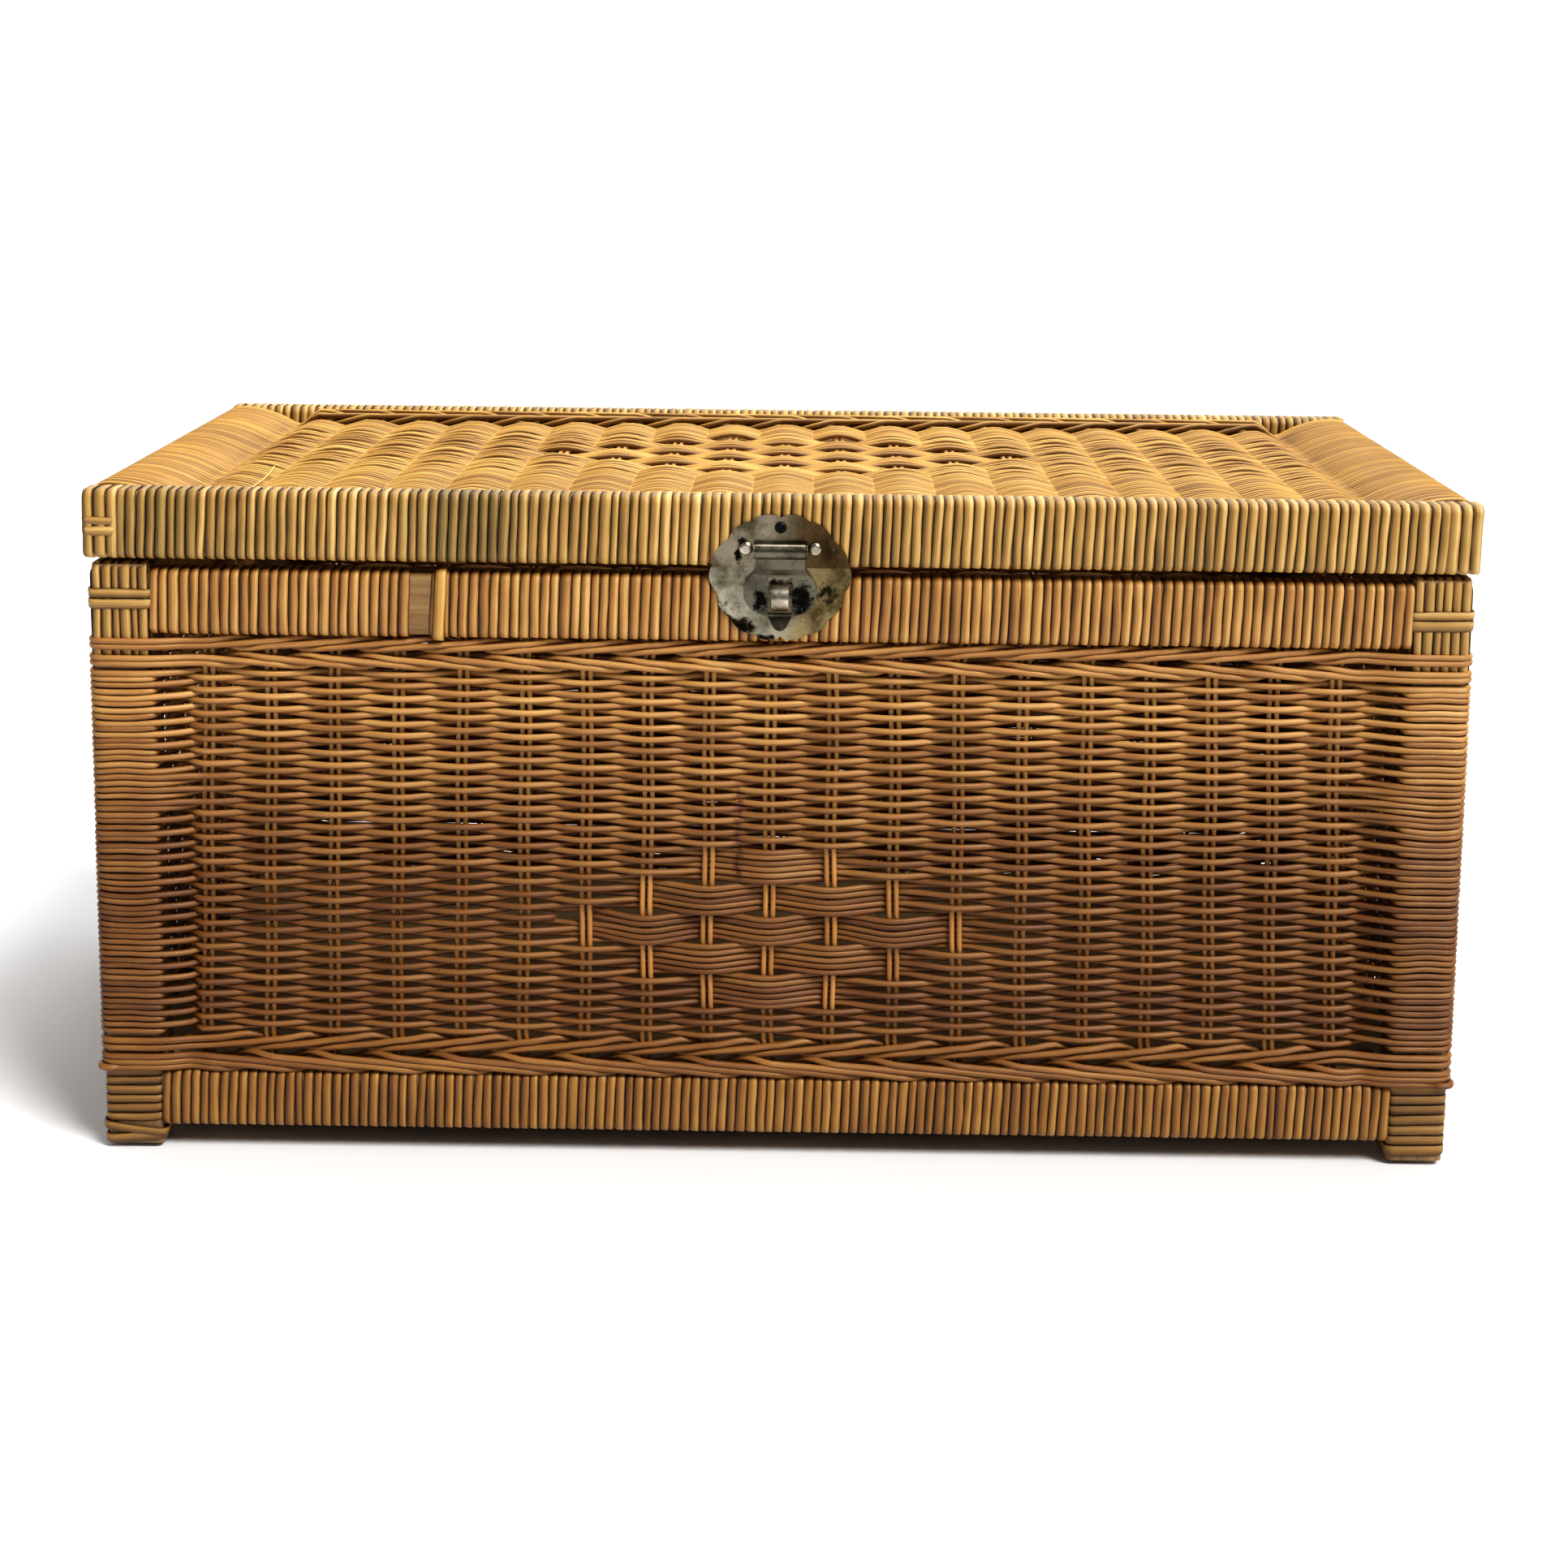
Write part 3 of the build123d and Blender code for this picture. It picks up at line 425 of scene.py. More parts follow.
# ---- woven panels ----
class Wall:
    """An upright wall: s runs along it from left to right as seen from outside, out is away from its
    stakes, and t is the height."""

    corner_radius = 7.0
    # near its ends a stake is held straight by the rails
    held_length = 22
    # every front stake has been pushed a little to the left
    front_push = -3.8

    def __init__(self, side):
        self.side = side
        low, high = cad(f"stakes_{side}")
        self.line = (low + high) / 2
        self.along, self.outward = {
            "front": ((1, 0, 0), (0, -1, 0)),
            "right": ((0, 1, 0), (1, 0, 0)),
            "rear": ((-1, 0, 0), (0, 1, 0)),
            "left": ((0, -1, 0), (-1, 0, 0)),
        }[side]
        self.along, self.outward = np.array(self.along, float), np.array(self.outward, float)
        self.count = 19 if side in ("front", "rear") else 9
        half_run = abs((high - low) @ self.along) / 2 - PAIR_HALF - STAKE_RADIUS
        self.stakes = np.linspace(-half_run, half_run, self.count)
        frame_low, frame_high = cad("corner_post_front_left", "corner_post_rear_right")
        self.half = abs((frame_high - frame_low) @ self.along) / 2
        self.face = abs((frame_high if self.outward.sum() > 0 else frame_low) @ self.outward) \
            - self.line @ self.outward
        self.post = cad("corner_post_front_left")[1][0] - cad("corner_post_front_left")[0][0]
        self.bottom = cad(f"weave_{side}")[0][2]
        self.top = cad(f"weave_{side}")[1][2]
        self.socket_low, self.socket_high = low[2], high[2]

    def put(self, local):
        """Points given as (s, out, t), in the trunk's frame."""
        local = np.asarray(local, float)
        base = self.line * np.array([1, 1, 0])
        points = base + local[:, :1] * self.along + local[:, 1:2] * self.outward
        points[:, 2] += local[:, 2]
        return points

    def sway(self, k, t):
        """How far a stake has been pulled sideways at a height. Its ends are held by the rails."""
        s = self.stakes[k]
        held = min((t - self.socket_low) / self.held_length, (self.socket_high - t) / self.held_length, 1)
        pull = 1.5 * math.cos((s + 150) / 60) - 0.009 * s * (t - 165) / 120 + 0.5 * math.sin(t / 19 + 1.3 * k)
        if self.side == "front":
            pull += self.front_push - 0.006 * s
        return max(held, 0) * pull

    def drift(self, s, t):
        """How far the rows have sagged or risen at a place."""
        fade = math.sin(math.pi * np.clip((t - self.bottom) / (self.top - self.bottom), 0, 1)) ** 0.7
        return fade * (0.9 * math.sin(s / 83 + t / 57) + 0.6 * math.sin(s / 37 - t / 71 + 2))

    def end(self, kind, radius, extra=0.0):
        """A strand's way round the left post to the first stake, as (distance from the end, out). kind is
        "round the post", "straight on" or "behind the stake"."""
        middle_radius = self.corner_radius + radius
        centre = self.corner_radius, self.face - self.corner_radius
        knots = []
        for turn in (45, 62, 78, 92):
            a = math.radians(turn)
            bulge = extra * math.cos(math.radians(2 * (turn - 45)))
            knots.append((centre[0] - (middle_radius + bulge) * math.cos(a),
                          centre[1] + (middle_radius + bulge) * math.sin(a)))
        skin = self.face + radius
        knots.append((self.post * 0.5, skin + 0.1))
        if kind == "round the post":
            knots += [(self.post - 3, skin), (self.post + 0.6, skin - 1.2), (self.post + radius, skin - 4.5)]
            knots += [(self.post + radius + 0.1, 1.0), (self.post + 4.2, -4.0), (self.post + 11, -4.4)]
            knots += [(self.post + 20, -1.5)]
        elif kind == "straight on":
            knots += [(self.post - 2, skin), (self.post + 6, skin - 1.2), (self.post + 18, skin - 4.5)]
        else:
            knots += [(self.post - 2, skin), (self.post + 5, skin - 1.6), (self.post + 17, 3.5)]
        return knots


walls = {side: Wall(side) for side in ("front", "right", "rear", "left")}
ROWS = 60
# the diamond: how many pairs of stakes each side of the middle its bands reach, and how far they sag
DIAMOND_SPANS = (1, 2, 3, 2, 1)
DIAMOND_FIRST_ROW = 6
DIAMOND_ROW_GROUP = 5
DIAMOND_SAGS = (1.9, 1.4, 2.6, 2.0, 0.6)
# rows that run straight on past the posts
BAND_ROWS = range(38, 44)
# one weaver of the front has broken
BREAK_ROW = 19
BREAK = (-131.0, -120.0)
# the far walls' reed is a little thicker, and the rear's two layers are staggered, so that they close
FULLNESS = {"front": 1.0, "right": 1.08, "rear": 1.2, "left": 1.08}
REAR_STAGGER = 0.6


def in_front(row, stake, count, spans=(), first=0, group=1):
    """True if a weaver passes in front of a stake. In the diamond, whole groups of rows go together."""
    cell = (row - first) // group
    if 0 <= cell < len(spans) and abs(stake - count // 2) <= spans[cell]:
        return (cell + stake - count // 2) % 2 == 0
    return (row + stake) % 2 == 0


def weaver(wall, row, rng):
    """The path of one row's weaver along a wall, from corner to corner."""
    pitch = (wall.top - wall.bottom) / ROWS
    level = wall.bottom + (row + 0.5) * pitch + rng.normal(0, 0.22)
    reach = 3.25 if wall.side == "front" else 2.8
    spans = DIAMOND_SPANS if wall.side in ("front", "rear") else ()
    centre = wall.count // 2
    cell = (row - DIAMOND_FIRST_ROW) // DIAMOND_ROW_GROUP
    front = [in_front(row, k, wall.count, spans, DIAMOND_FIRST_ROW, DIAMOND_ROW_GROUP)
             for k in range(wall.count)]

    def in_diamond(k):
        return 0 <= cell < len(spans) and abs(k - centre) <= spans[cell]

    def end_knots(sign, is_front):
        kind = "round the post" if is_front else "behind the stake"
        if is_front and (row in BAND_ROWS or wall.side == "rear"):
            kind = "straight on"
        bow = 0.9 * math.sin(level / 23 + 2 * sign) + 0.5 * math.sin(level / 9) + rng.normal(0, 0.2)
        bow *= min(1, (wall.top - level) / 12, (level - wall.bottom) / 12)
        return [(sign * (wall.half - e), out, level + bow * math.sin(math.pi * min(e / wall.post, 1))
                 + wall.drift(sign * (wall.half - e), level)) for e, out in wall.end(kind, WEAVER_RADIUS)]

    knots = end_knots(-1, front[0])
    for k in range(wall.count):
        s = wall.stakes[k] + wall.sway(k, level)
        side = 1 if front[k] else -1
        t = level + wall.drift(s, level) + rng.normal(0, 0.12)
        if wall.side == "rear":
            t -= REAR_STAGGER * side
        sag = 0.45 if front[k] else -0.2
        if in_diamond(k):
            sag = DIAMOND_SAGS[cell] if front[k] else 0.0
        out = side * reach + rng.normal(0, 0.12)
        if wall.side == "front" and BREAK[0] - 40 < s < BREAK[1] + 20 and abs(row - BREAK_ROW) == 1:
            t += 0.9 * (row - BREAK_ROW)
        knots.append((s - STAKE_GRIP, out, t - sag))
        knots.append((s + STAKE_GRIP, out, t - sag))
        if k + 1 < wall.count:
            after = wall.stakes[k + 1] + wall.sway(k + 1, level)
            same = front[k] == front[k + 1]
            next_sag = DIAMOND_SAGS[cell] * front[k + 1] if in_diamond(k + 1) else 0.0
            dip = 0.5 * max(sag, next_sag)
            knots.append(((s + after) / 2, side * reach * 1.1 if same else 0.0,
                          level + wall.drift((s + after) / 2, level) - dip))
    return smooth_path(knots + end_knots(1, front[-1])[::-1])


def weave_wall(wall):
    """All the weavers of a wall, in pieces small enough to export."""
    rng = np.random.default_rng(11 + list(walls).index(wall.side))
    tones = np.random.default_rng(5).uniform(0, 1, ROWS)
    parts = []
    rows = range(-1, ROWS + 1) if wall.side == "rear" else range(ROWS)
    for row in rows:
        local = weaver(wall, row, rng)
        radius = WEAVER_RADIUS * rng.uniform(0.95, 1.05) * FULLNESS[wall.side]
        spans = [local]
        if wall.side == "front" and row == BREAK_ROW:
            spans = [local[local[:, 0] < BREAK[0]], local[local[:, 0] > BREAK[1]]]
        for piece in spans:
            parts.append(tube(wall.put(piece), radius, tones[row % ROWS], (0, 0, 1), row))
    groups = [parts[i:i + MAX_STRANDS] for i in range(0, len(parts), MAX_STRANDS)]
    hidden = (f"weave_{wall.side}", "corner_weaves") if wall.side == "front" else (f"weave_{wall.side}",)
    for number, group in enumerate(groups):
        join(f"weavers_{wall.side}_{number + 1}", group, weaver_reed, "body",
             hidden if number == 0 else ())


def wall_stakes(wall):
    """A wall's paired stakes, slightly bent as the weavers pull them."""
    parts = []
    rng = np.random.default_rng(3)
    for k, place in enumerate(wall.stakes):
        for half in (-PAIR_HALF, PAIR_HALF):
            heights = np.linspace(wall.socket_low, wall.socket_high, 30)
            local = [(place + half + wall.sway(k, t), 0, t) for t in heights]
            parts.append(tube(wall.put(local), STAKE_RADIUS, rng.uniform(0, 1), wall.outward, k))
    join(f"stake_pairs_{wall.side}", parts, stake_reed, "body", (f"stakes_{wall.side}",))


def wale_row(wall, low, high, rising, over, number, bulge=0.0, radius=WALE_RADIUS, proud=0.6):
    """One row of waling: each rod passes over several stakes and behind one, rising or falling. bulge is
    how far its lower rods stand out at the corners."""
    rng = np.random.default_rng(40 + number)
    cycle = over + 1
    front_reach, back_reach = STAKE_RADIUS + radius + proud, STAKE_RADIUS + radius
    between = front_reach * 0.3

    def level(share):
        return low + (high - low) * (share if rising else 1 - share)

    parts = []
    for rod in range(cycle):
        def phase(k):
            return (k - rod) % cycle

        knots = []
        for sign, k in ((-1, 0), (1, wall.count - 1)):
            if phase(k) < over:
                share = (phase(k) + 0.5) / over
                lift = bulge if level(share) < (low + high) / 2 else 0.0
                ends = [(sign * (wall.half - e), out, level(share))
                        for e, out in wall.end("straight on", WALE_RADIUS, lift)]
            else:
                ends = [(sign * (wall.half - wall.post - 9), -back_reach, level(0.5))]
            if sign < 0:
                knots += ends
            else:
                tail = ends[::-1]
        for k in range(wall.count):
            s, q = wall.stakes[k], phase(k)
            share = (q + 0.5) / over if q < over else 0.5
            out = front_reach + 0.5 * math.sin(math.pi * share) if q < over else -back_reach
            out += rng.normal(0, 0.1)
            t = level(share) + rng.normal(0, 0.15)
            climb = (high - low) * (0.05 if rising else -0.05)
            knots += [(s - STAKE_GRIP, out, t), (s + STAKE_GRIP, out, t + climb)]
            if k + 1 < wall.count:
                mid = (s + wall.stakes[k + 1]) / 2
                if q < over - 1:
                    knots.append((mid, front_reach + 0.7, level((q + 1) / over)))
                elif q == over - 1:
                    knots.append((mid, between, level(1.0)))
                else:
                    knots.append((mid, between, level(0.0)))
        path = smooth_path(knots + tail)
        parts.append(tube(wall.put(path), radius * rng.uniform(0.95, 1.04), rng.uniform(0, 1),
                          (0, 0, 1), 70 + number * 5 + rod))
    return parts


def wale_wall(wall):
    """The chevron waling above and below a wall's weave."""
    low, high = cad("top_wales")[0][2], cad("top_wales")[1][2]
    half = (high - low) / 2
    parts = wale_row(wall, low + half + WALE_GAP, high - WALE_RADIUS, True, 2, 1)
    parts += wale_row(wall, low + WALE_RADIUS, low + half - WALE_GAP, False, 2, 2)
    join(f"top_waling_{wall.side}", parts, weaver_reed, "body",
         ("top_wales",) if wall.side == "front" else ())
    low, high = cad("bottom_wales")[0][2], cad("bottom_wales")[1][2]
    radius = 2.5 if wall.side == "rear" else 2.15
    middle = high - 10.5
    parts = wale_row(wall, middle, high - WALE_RADIUS, True, 2, 3, radius=radius)
    parts += wale_row(wall, low - 0.2, middle - WALE_RADIUS, False, 3, 4, 3.2, radius, 4.0)
    join(f"bottom_waling_{wall.side}", parts, wale_reed, "body",
         ("bottom_wales",) if wall.side == "front" else ())


for each in walls.values():
    weave_wall(each)
    wall_stakes(each)
    wale_wall(each)


# ---- lid panel ----
LID_ROWS = 96
LID_STRAND = 1.84
LID_DIAMOND_SPANS = (1, 2, 3, 4, 3, 2, 1)
LID_DIAMOND_GROUP = 7
LID_DIAMOND_FIRST = 32
# how far a strand lies from the stakes' plane, and how much less at the edge of a band of the diamond
LID_REACH = 3.9
LID_EDGE_DIP = 2.5

panel_low, panel_high = cad("lid_weave")
stake_low, stake_high = cad("lid_stakes")
LID_PLANE = (stake_low[2] + stake_high[2]) / 2
lid_stake_half = stake_high[0] - PAIR_HALF - 1.65
LID_STAKES = np.linspace(-lid_stake_half, lid_stake_half, 19)
side_low, side_high = cad("lid_rail_right")


def lid_end():
    """A strand's way from under a side rail, over it and down the slope, as (x, z) at the right."""
    r = LID_STRAND
    outer, top, bottom, inner = side_high[0] + r, side_high[2] + r, side_low[2] - r, side_low[0] - r
    under = [(inner + 6, bottom), (outer - 6, bottom), (outer - 1.6, bottom + 1.6), (outer, bottom + 6)]
    over = [(outer, (bottom + top) / 2), (outer, top - 7), (outer - 2.0, top - 2.0), (outer - 7, top)]
    down = [(inner + 6, top), (inner - 1, top - 0.9), (inner - 16, top - 5.6)]
    return under + over + down + [(inner - 31, LID_PLANE - 1.6)]


def lid_strand(y, fronts, reach, rng):
    """A strand across the lid, over and under its stakes, at y."""
    knots = [(-x, y, z) for x, z in lid_end()]
    for k, front in enumerate(fronts):
        x = LID_STAKES[k]
        side = 1 if front else -1
        z = LID_PLANE + side * reach + rng.normal(0, 0.12)
        knots += [(x - STAKE_GRIP, y, z), (x + STAKE_GRIP, y, z)]
        if k + 1 < len(fronts):
            same = front == fronts[k + 1]
            between = LID_PLANE + (side * reach * 1.1 if same else 0.0)
            knots.append(((x + LID_STAKES[k + 1]) / 2, y, between))
    knots += [(x, y, z) for x, z in lid_end()[::-1]]
    return smooth_path(knots)


def lid_panel():
    """The lid's weave, whose rows run over both side rails."""
    rng = np.random.default_rng(21)
    pitch = (panel_high[1] - panel_low[1]) / LID_ROWS
    parts = []
    for row in range(LID_ROWS):
        fronts = [in_front(row, k, 19, LID_DIAMOND_SPANS, LID_DIAMOND_FIRST, LID_DIAMOND_GROUP)
                  for k in range(19)]
        y = panel_low[1] + (row + 0.5) * pitch + rng.normal(0, 0.15)
        cell, place = divmod(row - LID_DIAMOND_FIRST, LID_DIAMOND_GROUP)
        edge = abs(place - LID_DIAMOND_GROUP // 2) / (LID_DIAMOND_GROUP / 2)
        reach = LID_REACH - (LID_EDGE_DIP * edge**2 if 0 <= cell < len(LID_DIAMOND_SPANS) else 0)
        path = lid_strand(y, fronts, reach, rng)
        # the strands are darker over the side rails, and most at the right: painted shade in their tone
        on_side = np.clip((np.abs(path[:, 0]) - 335) / 15, 0, 1)
        tone = rng.uniform(0, 1) - on_side * (0.35 + 0.2 * (path[:, 0] > 0))
        parts.append(tube(path, LID_STRAND * rng.uniform(0.94, 1.0), tone, (0, 1, 0), row))
    groups = [parts[i:i + MAX_LID_STRANDS] for i in range(0, len(parts), MAX_LID_STRANDS)]
    for number, group in enumerate(groups):
        join(f"lid_weavers_{number + 1}", group, lid_reed, "lid",
             ("lid_weave", "lid_side_weaves") if number == 0 else ())


def lid_waling(y_low, y_high, name, seed, lifts=(0.0, 0.0), replaces=()):
    """The two-row chevron between the lid's panel and a rail. lifts raises each row towards the rail."""
    rng = np.random.default_rng(seed)
    half = (y_high - y_low) / 2
    parts = []
    rows = (y_low + 1.8, y_low + half - 1.6, True), (y_low + half + 1.6, y_high - 1.8, False)
    for (low, high, rising), lift in zip(rows, lifts):
        for rod in range(3):
            ends = []
            for k in (0, 18):
                q = (k - rod) % 3
                share = (q + 0.5) / 2 if q < 2 else 0.5
                ends.append(low + (high - low) * (share if rising else 1 - share))
            knots = [(-x, ends[0], z) for x, z in lid_end()]
            for k in range(19):
                q = (k - rod) % 3
                share = (q + 0.5) / 2 if q < 2 else 0.5
                y = low + (high - low) * (share if rising else 1 - share)
                z = LID_PLANE + 2.4 + lift + (STAKE_RADIUS + LID_STRAND + 0.6) * (1 if q < 2 else -0.9)
                x = LID_STAKES[k]
                knots += [(x - STAKE_GRIP, y, z), (x + STAKE_GRIP, y, z)]
                if k < 18:
                    step = {0: (0.5, 6.6), 1: (1.0, 3.0), 2: (0.0, 3.0)}[q]
                    y_mid = low + (high - low) * (step[0] if rising else 1 - step[0])
                    knots.append(((x + LID_STAKES[k + 1]) / 2, y_mid, LID_PLANE + lift + step[1]))
            knots += [(x, ends[1], z) for x, z in lid_end()[::-1]]
            parts.append(tube(smooth_path(knots), LID_STRAND, rng.uniform(0, 1), (0, 1, 0), 50 + rod))
    join(name, parts, lid_reed, "lid", replaces)


lid_panel()
wale_low, wale_high = cad("lid_wales")
lid_waling(wale_low[1], panel_low[1], "lid_waling_front", 31, replaces=("lid_wales",))
lid_waling(panel_high[1], wale_high[1], "lid_waling_rear", 32, (1.2, 2.8))

parts = []
for k, x in enumerate(LID_STAKES):
    for half in (-PAIR_HALF, PAIR_HALF):
        path = [(x + half, y, LID_PLANE) for y in np.linspace(stake_low[1], stake_high[1], 24)]
        parts.append(tube(path, STAKE_RADIUS, (k * 0.37) % 1, (0, 0, 1), k))
join("lid_stake_pairs", parts, stake_reed, "lid", ("lid_stakes",))


# a pale splinter lies between the first two pairs of stakes
splinter = smooth_path([(-321, -166, 398), (-323, -130, 396.6), (-323.5, -95, 396.8), (-326, -62, 397.6)], 6)
join("lid_splinter", [tube(splinter, 0.55, 1.6, (0, 0, 1), 7, 6)], lid_reed, "lid")


# ---- flat reed bindings ----
def section(low, high, along, radius=4.0, steps=4):
    """The rounded outline of a bar that runs along an axis: points and the directions out of it."""
    u, v = [axis for axis in range(3) if axis != along]
    points, outward = [], []
    corners = ((high[u], high[v], 0), (low[u], high[v], 90), (low[u], low[v], 180), (high[u], low[v], 270))
    for cu, cv, turn in corners:
        for step in range(steps + 1):
            a = math.radians(turn + 90 * step / steps)
            centre_u = cu - radius * (1 if cu == high[u] else -1)
            centre_v = cv - radius * (1 if cv == high[v] else -1)
            points.append((centre_u + radius * math.cos(a), centre_v + radius * math.sin(a)))
            outward.append((math.cos(a), math.sin(a)))
    points, outward = np.array(points), np.array(outward)
    filled, directions = [], []
    for i in range(len(points)):
        a, b = points[i], points[(i + 1) % len(points)]
        pieces = max(1, round(np.linalg.norm(b - a) / 7))
        for j in range(pieces):
            filled.append(a + (b - a) * j / pieces)
            directions.append(outward[i] if j == 0 else (outward[i] + outward[(i + 1) % len(points)]) / 2)
    flat, normal = np.zeros((len(filled), 3)), np.zeros((len(filled), 3))
    flat[:, [u, v]], normal[:, [u, v]] = filled, directions
    return flat, normal / np.linalg.norm(normal, axis=1, keepdims=True)


def bind(name, low, high, along, start, end, width, material, body, replaces=(), lean=1.2, skip=None,
         seed=0, proud=0.22, weathered=()):
    """Strips wound side by side round a bar, from start to end along it. weathered lists the ranges
    along the bar where the strips have gone grey."""
    rng = np.random.default_rng(100 + seed)
    ring, outward = section(low, high, along)
    across = np.zeros(3)
    across[along] = 1
    up = 2 if along != 2 else 0
    middle_up = (low[up] + high[up]) / 2
    height = (ring[:, up] - middle_up) / (high[up] - low[up])
    count = max(1, round((end - start) / width))
    edges = start + (end - start) * np.arange(count + 1) / count
    edges[1:-1] += rng.normal(0, width * 0.06, count - 1)
    parts = []
    for i in range(count):
        place, size = (edges[i] + edges[i + 1]) / 2, edges[i + 1] - edges[i]
        if skip and skip[0] < place < skip[1]:
            continue
        tilt = lean + rng.normal(0, 0.35)
        if skip and skip[1] <= place < skip[1] + width:
            tilt += 0.9
        push = rng.uniform(0, proud)
        wave = rng.normal(0, 0.1, 2)
        path = ring + outward * push
        path = path + across * (place + tilt * height + wave[0] * np.sin(7 * height + wave[1] * 30))[:, None]
        wide = size * 0.985 * (1 + 0.03 * np.sin(9 * height + i))
        tone = rng.uniform(0, 1)
        for from_place, to_place, amount in weathered:
            if from_place < place < to_place:
                tone = -amount * (0.5 + 0.5 * tone)
        parts.append(strip(path, outward, across, wide, STRIP_THICKNESS - proud * 0.6, tone, i + seed * 31))
    return join(name, parts, material, body, replaces)


BARE_PATCH = (-218.0, -203.0)
GREY_STRIPS = ((-392.0, -340.0, 0.55), (-203.0, -152.0, 1.0))
for number, side in enumerate(("front", "rear", "left", "right")):
    axis = 0 if side in ("front", "rear") else 1
    for level, title in (("top", "top_rail"), ("bottom", "bottom_rail")):
        low, high = cad(f"{title}_{side}")
        skip = BARE_PATCH if (side, level) == ("front", "top") else None
        bind(f"{title}_binding_{side}", low, high, axis, low[axis], high[axis],
             STRIP_WIDTH if level == "top" else 5.7, wrap_reed, "body",
             (f"{title}_wraps",) if side == "front" else (), skip=skip, seed=number * 2 + (level == "top"))

for number, side in enumerate(("front", "rear")):
    low, high = cad(f"lid_rail_{side}")
    bind(f"lid_rail_binding_{side}", low, high, 0, low[0], high[0], STRIP_WIDTH, lid_wrap_reed, "lid",
         ("lid_rail_wraps",) if side == "front" else (), lean=1.6, seed=20 + number,
         weathered=GREY_STRIPS if side == "front" else ())


# one strip beside the bare patch has come loose and stands proud
low, high = cad("top_rail_front")
give = np.array([0, 1.3, 2.0])
bind("top_rail_loose_strip", low - give, high + give, 0, -203.6, -196.2, 7.4, loose_reed, "body", lean=2.4,
     seed=90)


def post_binding():
    """Flat reed on the posts: upright strips tied down at the top, and level strips round the legs."""
    for number, corner in enumerate(("front_left", "front_right", "rear_left", "rear_right")):
        low, high = cad(f"corner_post_{corner}")
        top_low, top_high = cad("post_top_wraps")
        # upright strips folded over the post's top, in both directions
        cap_low = np.array([low[0], low[1], top_low[2] - 14])
        cap_high = np.array([high[0], high[1], high[2]])
        bind(f"post_top_strips_{corner}", cap_low, cap_high, 0, low[0] + 0.3, high[0] - 0.3, 5.6,
             post_wrap_reed, "body", ("post_top_wraps",) if number == 0 else (), lean=0.2, seed=40 + number)
        side_low, side_high = cap_low.copy(), cap_high - np.array([0, 0, 2.2])
        bind(f"post_side_strips_{corner}", side_low, side_high, 1, low[1] + 0.6, high[1] - 0.6, 5.6,
             post_wrap_reed, "body", lean=0.2, seed=44 + number)
        # two level strips that tie the upright ones
        tie_low, tie_high = low - 1.3, high + 1.3
        tie_start = (top_low[2] + high[2]) / 2 - 5.5 - (4 if low[0] > 0 else 0)
        bind(f"post_tie_{corner}", tie_low, tie_high, 2, tie_start, tie_start + 12.4, 6.2,
             post_wrap_reed, "body", lean=0.4, seed=48 + number)
        # level strips round the leg
        leg_low, leg_high = cad("leg_wraps")
        start = leg_low[2] + (13.5 if number == 0 else 2.4)
        bind(f"leg_binding_{corner}", low, high, 2, start, leg_high[2] + 1.0, 6.1,
             post_wrap_reed, "body", ("leg_wraps",) if number == 0 else (), lean=0.8, seed=52 + number)
        if number == 0:
            slack = np.array([1.3, 1.3, 0])
            bind("leg_loose_strip_upper", low - slack, high + slack, 2, 9.6, 15.2, 5.6,
                 post_wrap_reed, "body", lean=-5.0, seed=91)
            bind("leg_loose_strip_lower", low - slack / 2, high + slack / 2, 2, 4.6, 10.2, 5.6,
                 post_wrap_reed, "body", lean=3.0, seed=92)


post_binding()


def lid_corners():
    """The lid's corners: strips folded over the side rails' ends both ways, tied at the left by two
    level strips."""
    for number, (x_side, y_side) in enumerate(((-1, -1), (1, -1), (-1, 1), (1, 1))):
        name = ("front" if y_side < 0 else "rear") + ("_left" if x_side < 0 else "_right")
        low, high = cad("lid_rail_left" if x_side < 0 else "lid_rail_right")
        low, high = low.copy(), high.copy()
        high[2] = cad("lid_rail_front")[1][2]
        inner = cad("lid_rail_front")[1][1] if y_side < 0 else cad("lid_rail_rear")[0][1]
        if y_side < 0:
            high[1] = inner
        else:
            low[1] = inner
        bind(f"lid_corner_strips_{name}", low, high, 0, low[0] - 1.3, high[0] + 1.3, 6.6,
             lid_wrap_reed, "lid", ("lid_corner_wraps",) if number == 0 else (), lean=0.6, seed=60 + number)
        inset = np.array([0, 0, 1.8])
        bind(f"lid_corner_side_strips_{name}", low + inset, high - inset, 1, low[1] + 0.5, high[1] - 0.5, 6.2,
             lid_wrap_reed, "lid", lean=0.6, seed=68 + number)
        if x_side < 0:
            middle_z = (low[2] + high[2]) / 2
            grow = np.array([1.0, 0.6, 0])
            bind(f"lid_corner_tie_{name}", low - grow, high + grow, 2, middle_z - 7.5, middle_z + 4.7, 6.1,
                 lid_wrap_reed, "lid", lean=0.0, seed=64 + number)


lid_corners()

# ---- CAD nodes that stay: timber, floor, latch, hinges and glides ----
rail_wood_x = plain_wood("rail timber x", (0.17, 0.092, 0.036), (0.42, 0.265, 0.115), 0)
rail_wood_y = plain_wood("rail timber y", (0.17, 0.092, 0.036), (0.42, 0.265, 0.115), 1)
post_wood = plain_wood("post timber", (0.13, 0.075, 0.035), (0.34, 0.22, 0.11), 2)
plywood = plain_wood("floor plywood", (0.3, 0.19, 0.09), (0.5, 0.36, 0.19), 0)
latch_metal = nickel(
    "latch nickel", (0.5, 0.46, 0.37), (0.15, 0.135, 0.09), (0.03, 0.022, 0.012), 0.03, 0.34,
    right_tint=(0.7, 0.6, 0.4), black=((-0.025, 0.3275, 0.009, 0.0025), (-0.013, 0.3215, 0.01, 0.0022)),
)
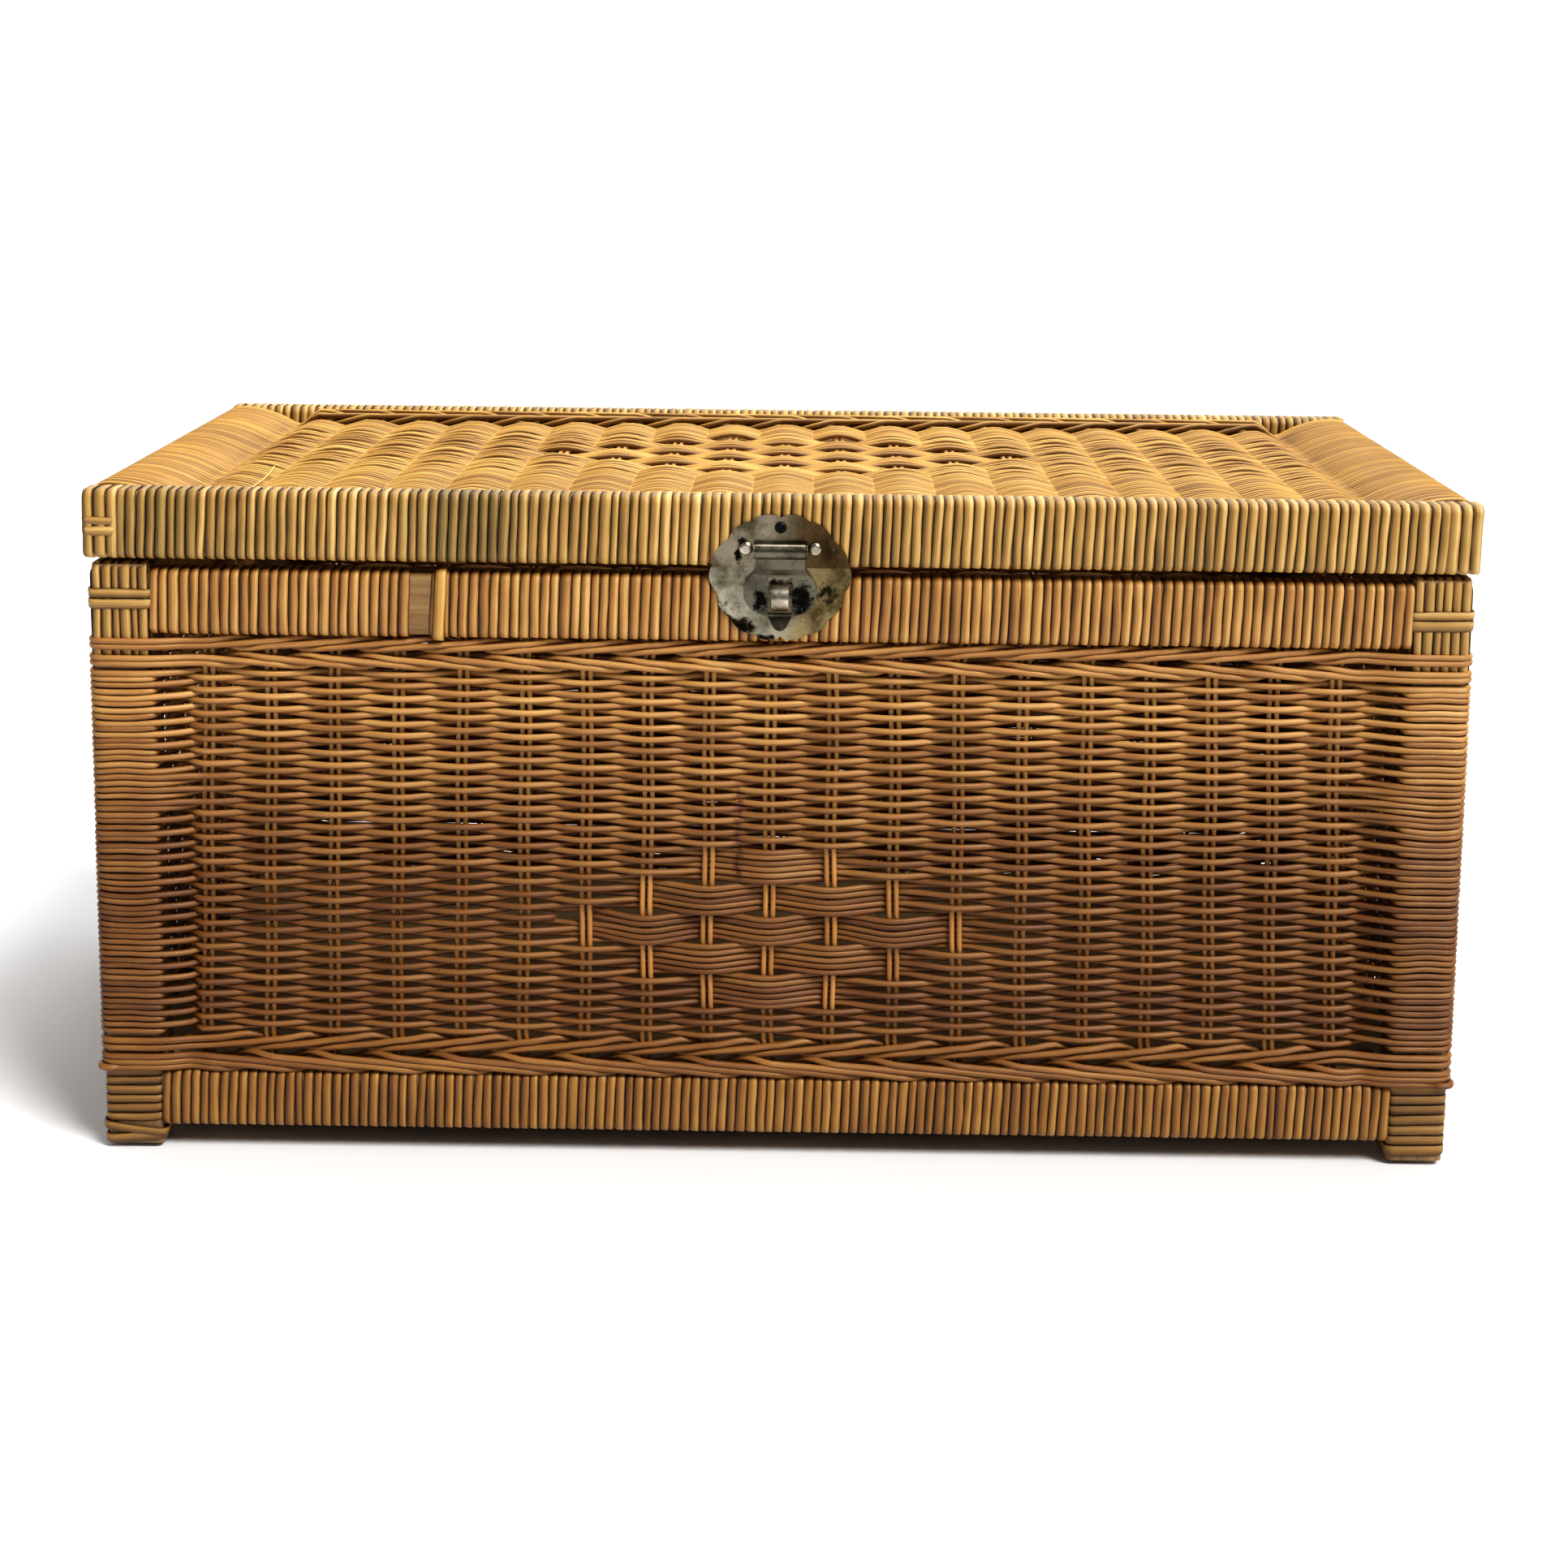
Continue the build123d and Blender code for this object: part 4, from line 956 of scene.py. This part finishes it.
upper_metal = nickel(
    "upper plate nickel", (0.36, 0.31, 0.235), (0.12, 0.1, 0.068), (0.045, 0.03, 0.016), 0.04, 0.3,
    right_tint=(0.4, 0.31, 0.2), black=((-0.0245, 0.3725, 0.0022, 0.006), (-0.022, 0.379, 0.003, 0.003)),
)
hasp_metal = nickel(
    "hasp nickel", (0.22, 0.2, 0.155), (0.075, 0.07, 0.052), (0.03, 0.026, 0.018), 0.02, 0.28,
    black=((-0.0115, 0.3445, 0.004, 0.0065), (0.0125, 0.3455, 0.006, 0.009)),
)
dome_metal = nickel("nail nickel", (0.62, 0.56, 0.46), (0.3, 0.26, 0.2), (0.05, 0.04, 0.03), 0.0, 0.24)
black_metal = nickel(
    "blacked screw", (0.03, 0.03, 0.032), (0.015, 0.015, 0.016), (0.02, 0.015, 0.012), 0.0, 0.42,
)
hinge_metal = nickel("hinge steel", (0.5, 0.47, 0.42), (0.26, 0.24, 0.2), (0.08, 0.06, 0.04), 0.0, 0.4)
glide_metal = nickel("glide metal", (0.42, 0.43, 0.45), (0.25, 0.26, 0.28), (0.15, 0.14, 0.13), 0.0, 0.45)

NODE_MATERIALS = {
    "corner_post": post_wood,
    "top_rail": rail_wood_x,
    "bottom_rail": rail_wood_x,
    "lid_rail": rail_wood_x,
    "floor_battens": rail_wood_y,
    "floor_board": plywood,
    "latch_plate_lower": latch_metal,
    "latch_plate_upper": upper_metal,
    "latch_staple": dome_metal,
    "latch_nails": dome_metal,
    "latch_screw": black_metal,
    "hasp_pin": hinge_metal,
    "hasp": hasp_metal,
    "hinge": hinge_metal,
    "foot_glides": glide_metal,
}


def node_material(node):
    """The material of a CAD node, by the longest start of its name that is listed."""
    start = max((key for key in NODE_MATERIALS if node.startswith(key)), key=len, default=None)
    if start in ("top_rail", "bottom_rail", "lid_rail") and node.endswith(("left", "right")):
        return rail_wood_y
    return NODE_MATERIALS[start] if start else None


for node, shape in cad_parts.items():
    material = node_material(node)
    if material is None or shape.hide_render:
        continue
    if not shape.data.materials:
        shape.data.materials.append(material)
    for index in range(len(shape.data.materials)):
        shape.data.materials[index] = material

# ---- stage ----
FLOOR_SIZE = 12.0
floor_mesh = bpy.data.meshes.new("floor")
half = FLOOR_SIZE / 2
floor_corners = [(-half, -half, 0), (half, -half, 0), (half, half, 0), (-half, half, 0)]
floor_mesh.from_pydata(floor_corners, [], [(0, 1, 2, 3)])
floor = bpy.data.objects.new("floor", floor_mesh)
bpy.context.scene.collection.objects.link(floor)
floor_shader = Shader("pale floor")
floor_mesh.materials.append(floor_shader.finish((0.9, 0.9, 0.9, 1), 0.7))

# the studio's walls are brighter behind the trunk than in front of it
world = bpy.data.worlds.new("studio")
world.use_nodes = True
sky = world.node_tree.nodes
sky["Background"].inputs["Color"].default_value = (1, 1, 1, 1)
direction = sky.new("ShaderNodeSeparateXYZ")
brightness = sky.new("ShaderNodeMapRange")
for name, value in (("From Min", 0.0), ("From Max", 0.85), ("To Min", 0.2), ("To Max", 1.0)):
    brightness.inputs[name].default_value = value
wires = world.node_tree.links
wires.new(sky.new("ShaderNodeTexCoord").outputs["Generated"], direction.inputs[0])
wires.new(direction.outputs["Y"], brightness.inputs["Value"])
wires.new(brightness.outputs["Result"], sky["Background"].inputs["Strength"])
bpy.context.scene.world = world
bpy.context.scene.view_settings.view_transform = "Standard"
bpy.context.scene.view_settings.look = "High Contrast"


def softbox(name, place, target, size, power):
    """A square area light aimed at a point."""
    lamp = bpy.data.lights.new(name, "AREA")
    lamp.shape = "SQUARE"
    lamp.size = size
    lamp.energy = power
    light = bpy.data.objects.new(name, lamp)
    light.location = place
    light.rotation_euler = (Vector(target) - Vector(place)).to_track_quat("-Z", "Y").to_euler()
    bpy.context.scene.collection.objects.link(light)


key_lamp = bpy.data.lights.new("key", "SUN")
key_lamp.energy = 2.6
key_lamp.angle = math.radians(24)
key = bpy.data.objects.new("key", key_lamp)
key.rotation_euler = Vector((0.62, -0.62, 1.0)).to_track_quat("Z", "Y").to_euler()
bpy.context.scene.collection.objects.link(key)
softbox("top", (0.2, 0.3, 2.2), (0, 0, 0.3), 0.9, 16)

# ---- camera: a little above the lid, just right of the middle ----
camera_data = bpy.data.cameras.new("camera")
camera_data.lens = 61.7
camera_data.sensor_width = 36.0
camera_data.shift_y = -0.16
camera_data.clip_start = 0.05
camera = bpy.data.objects.new("camera", camera_data)
camera.location = (0.0137, -1.763, 0.6405)
camera.rotation_euler = Euler([math.radians(part) for part in (80.585, -0.636, 0.543)])
bpy.context.scene.collection.objects.link(camera)
bpy.context.scene.camera = camera
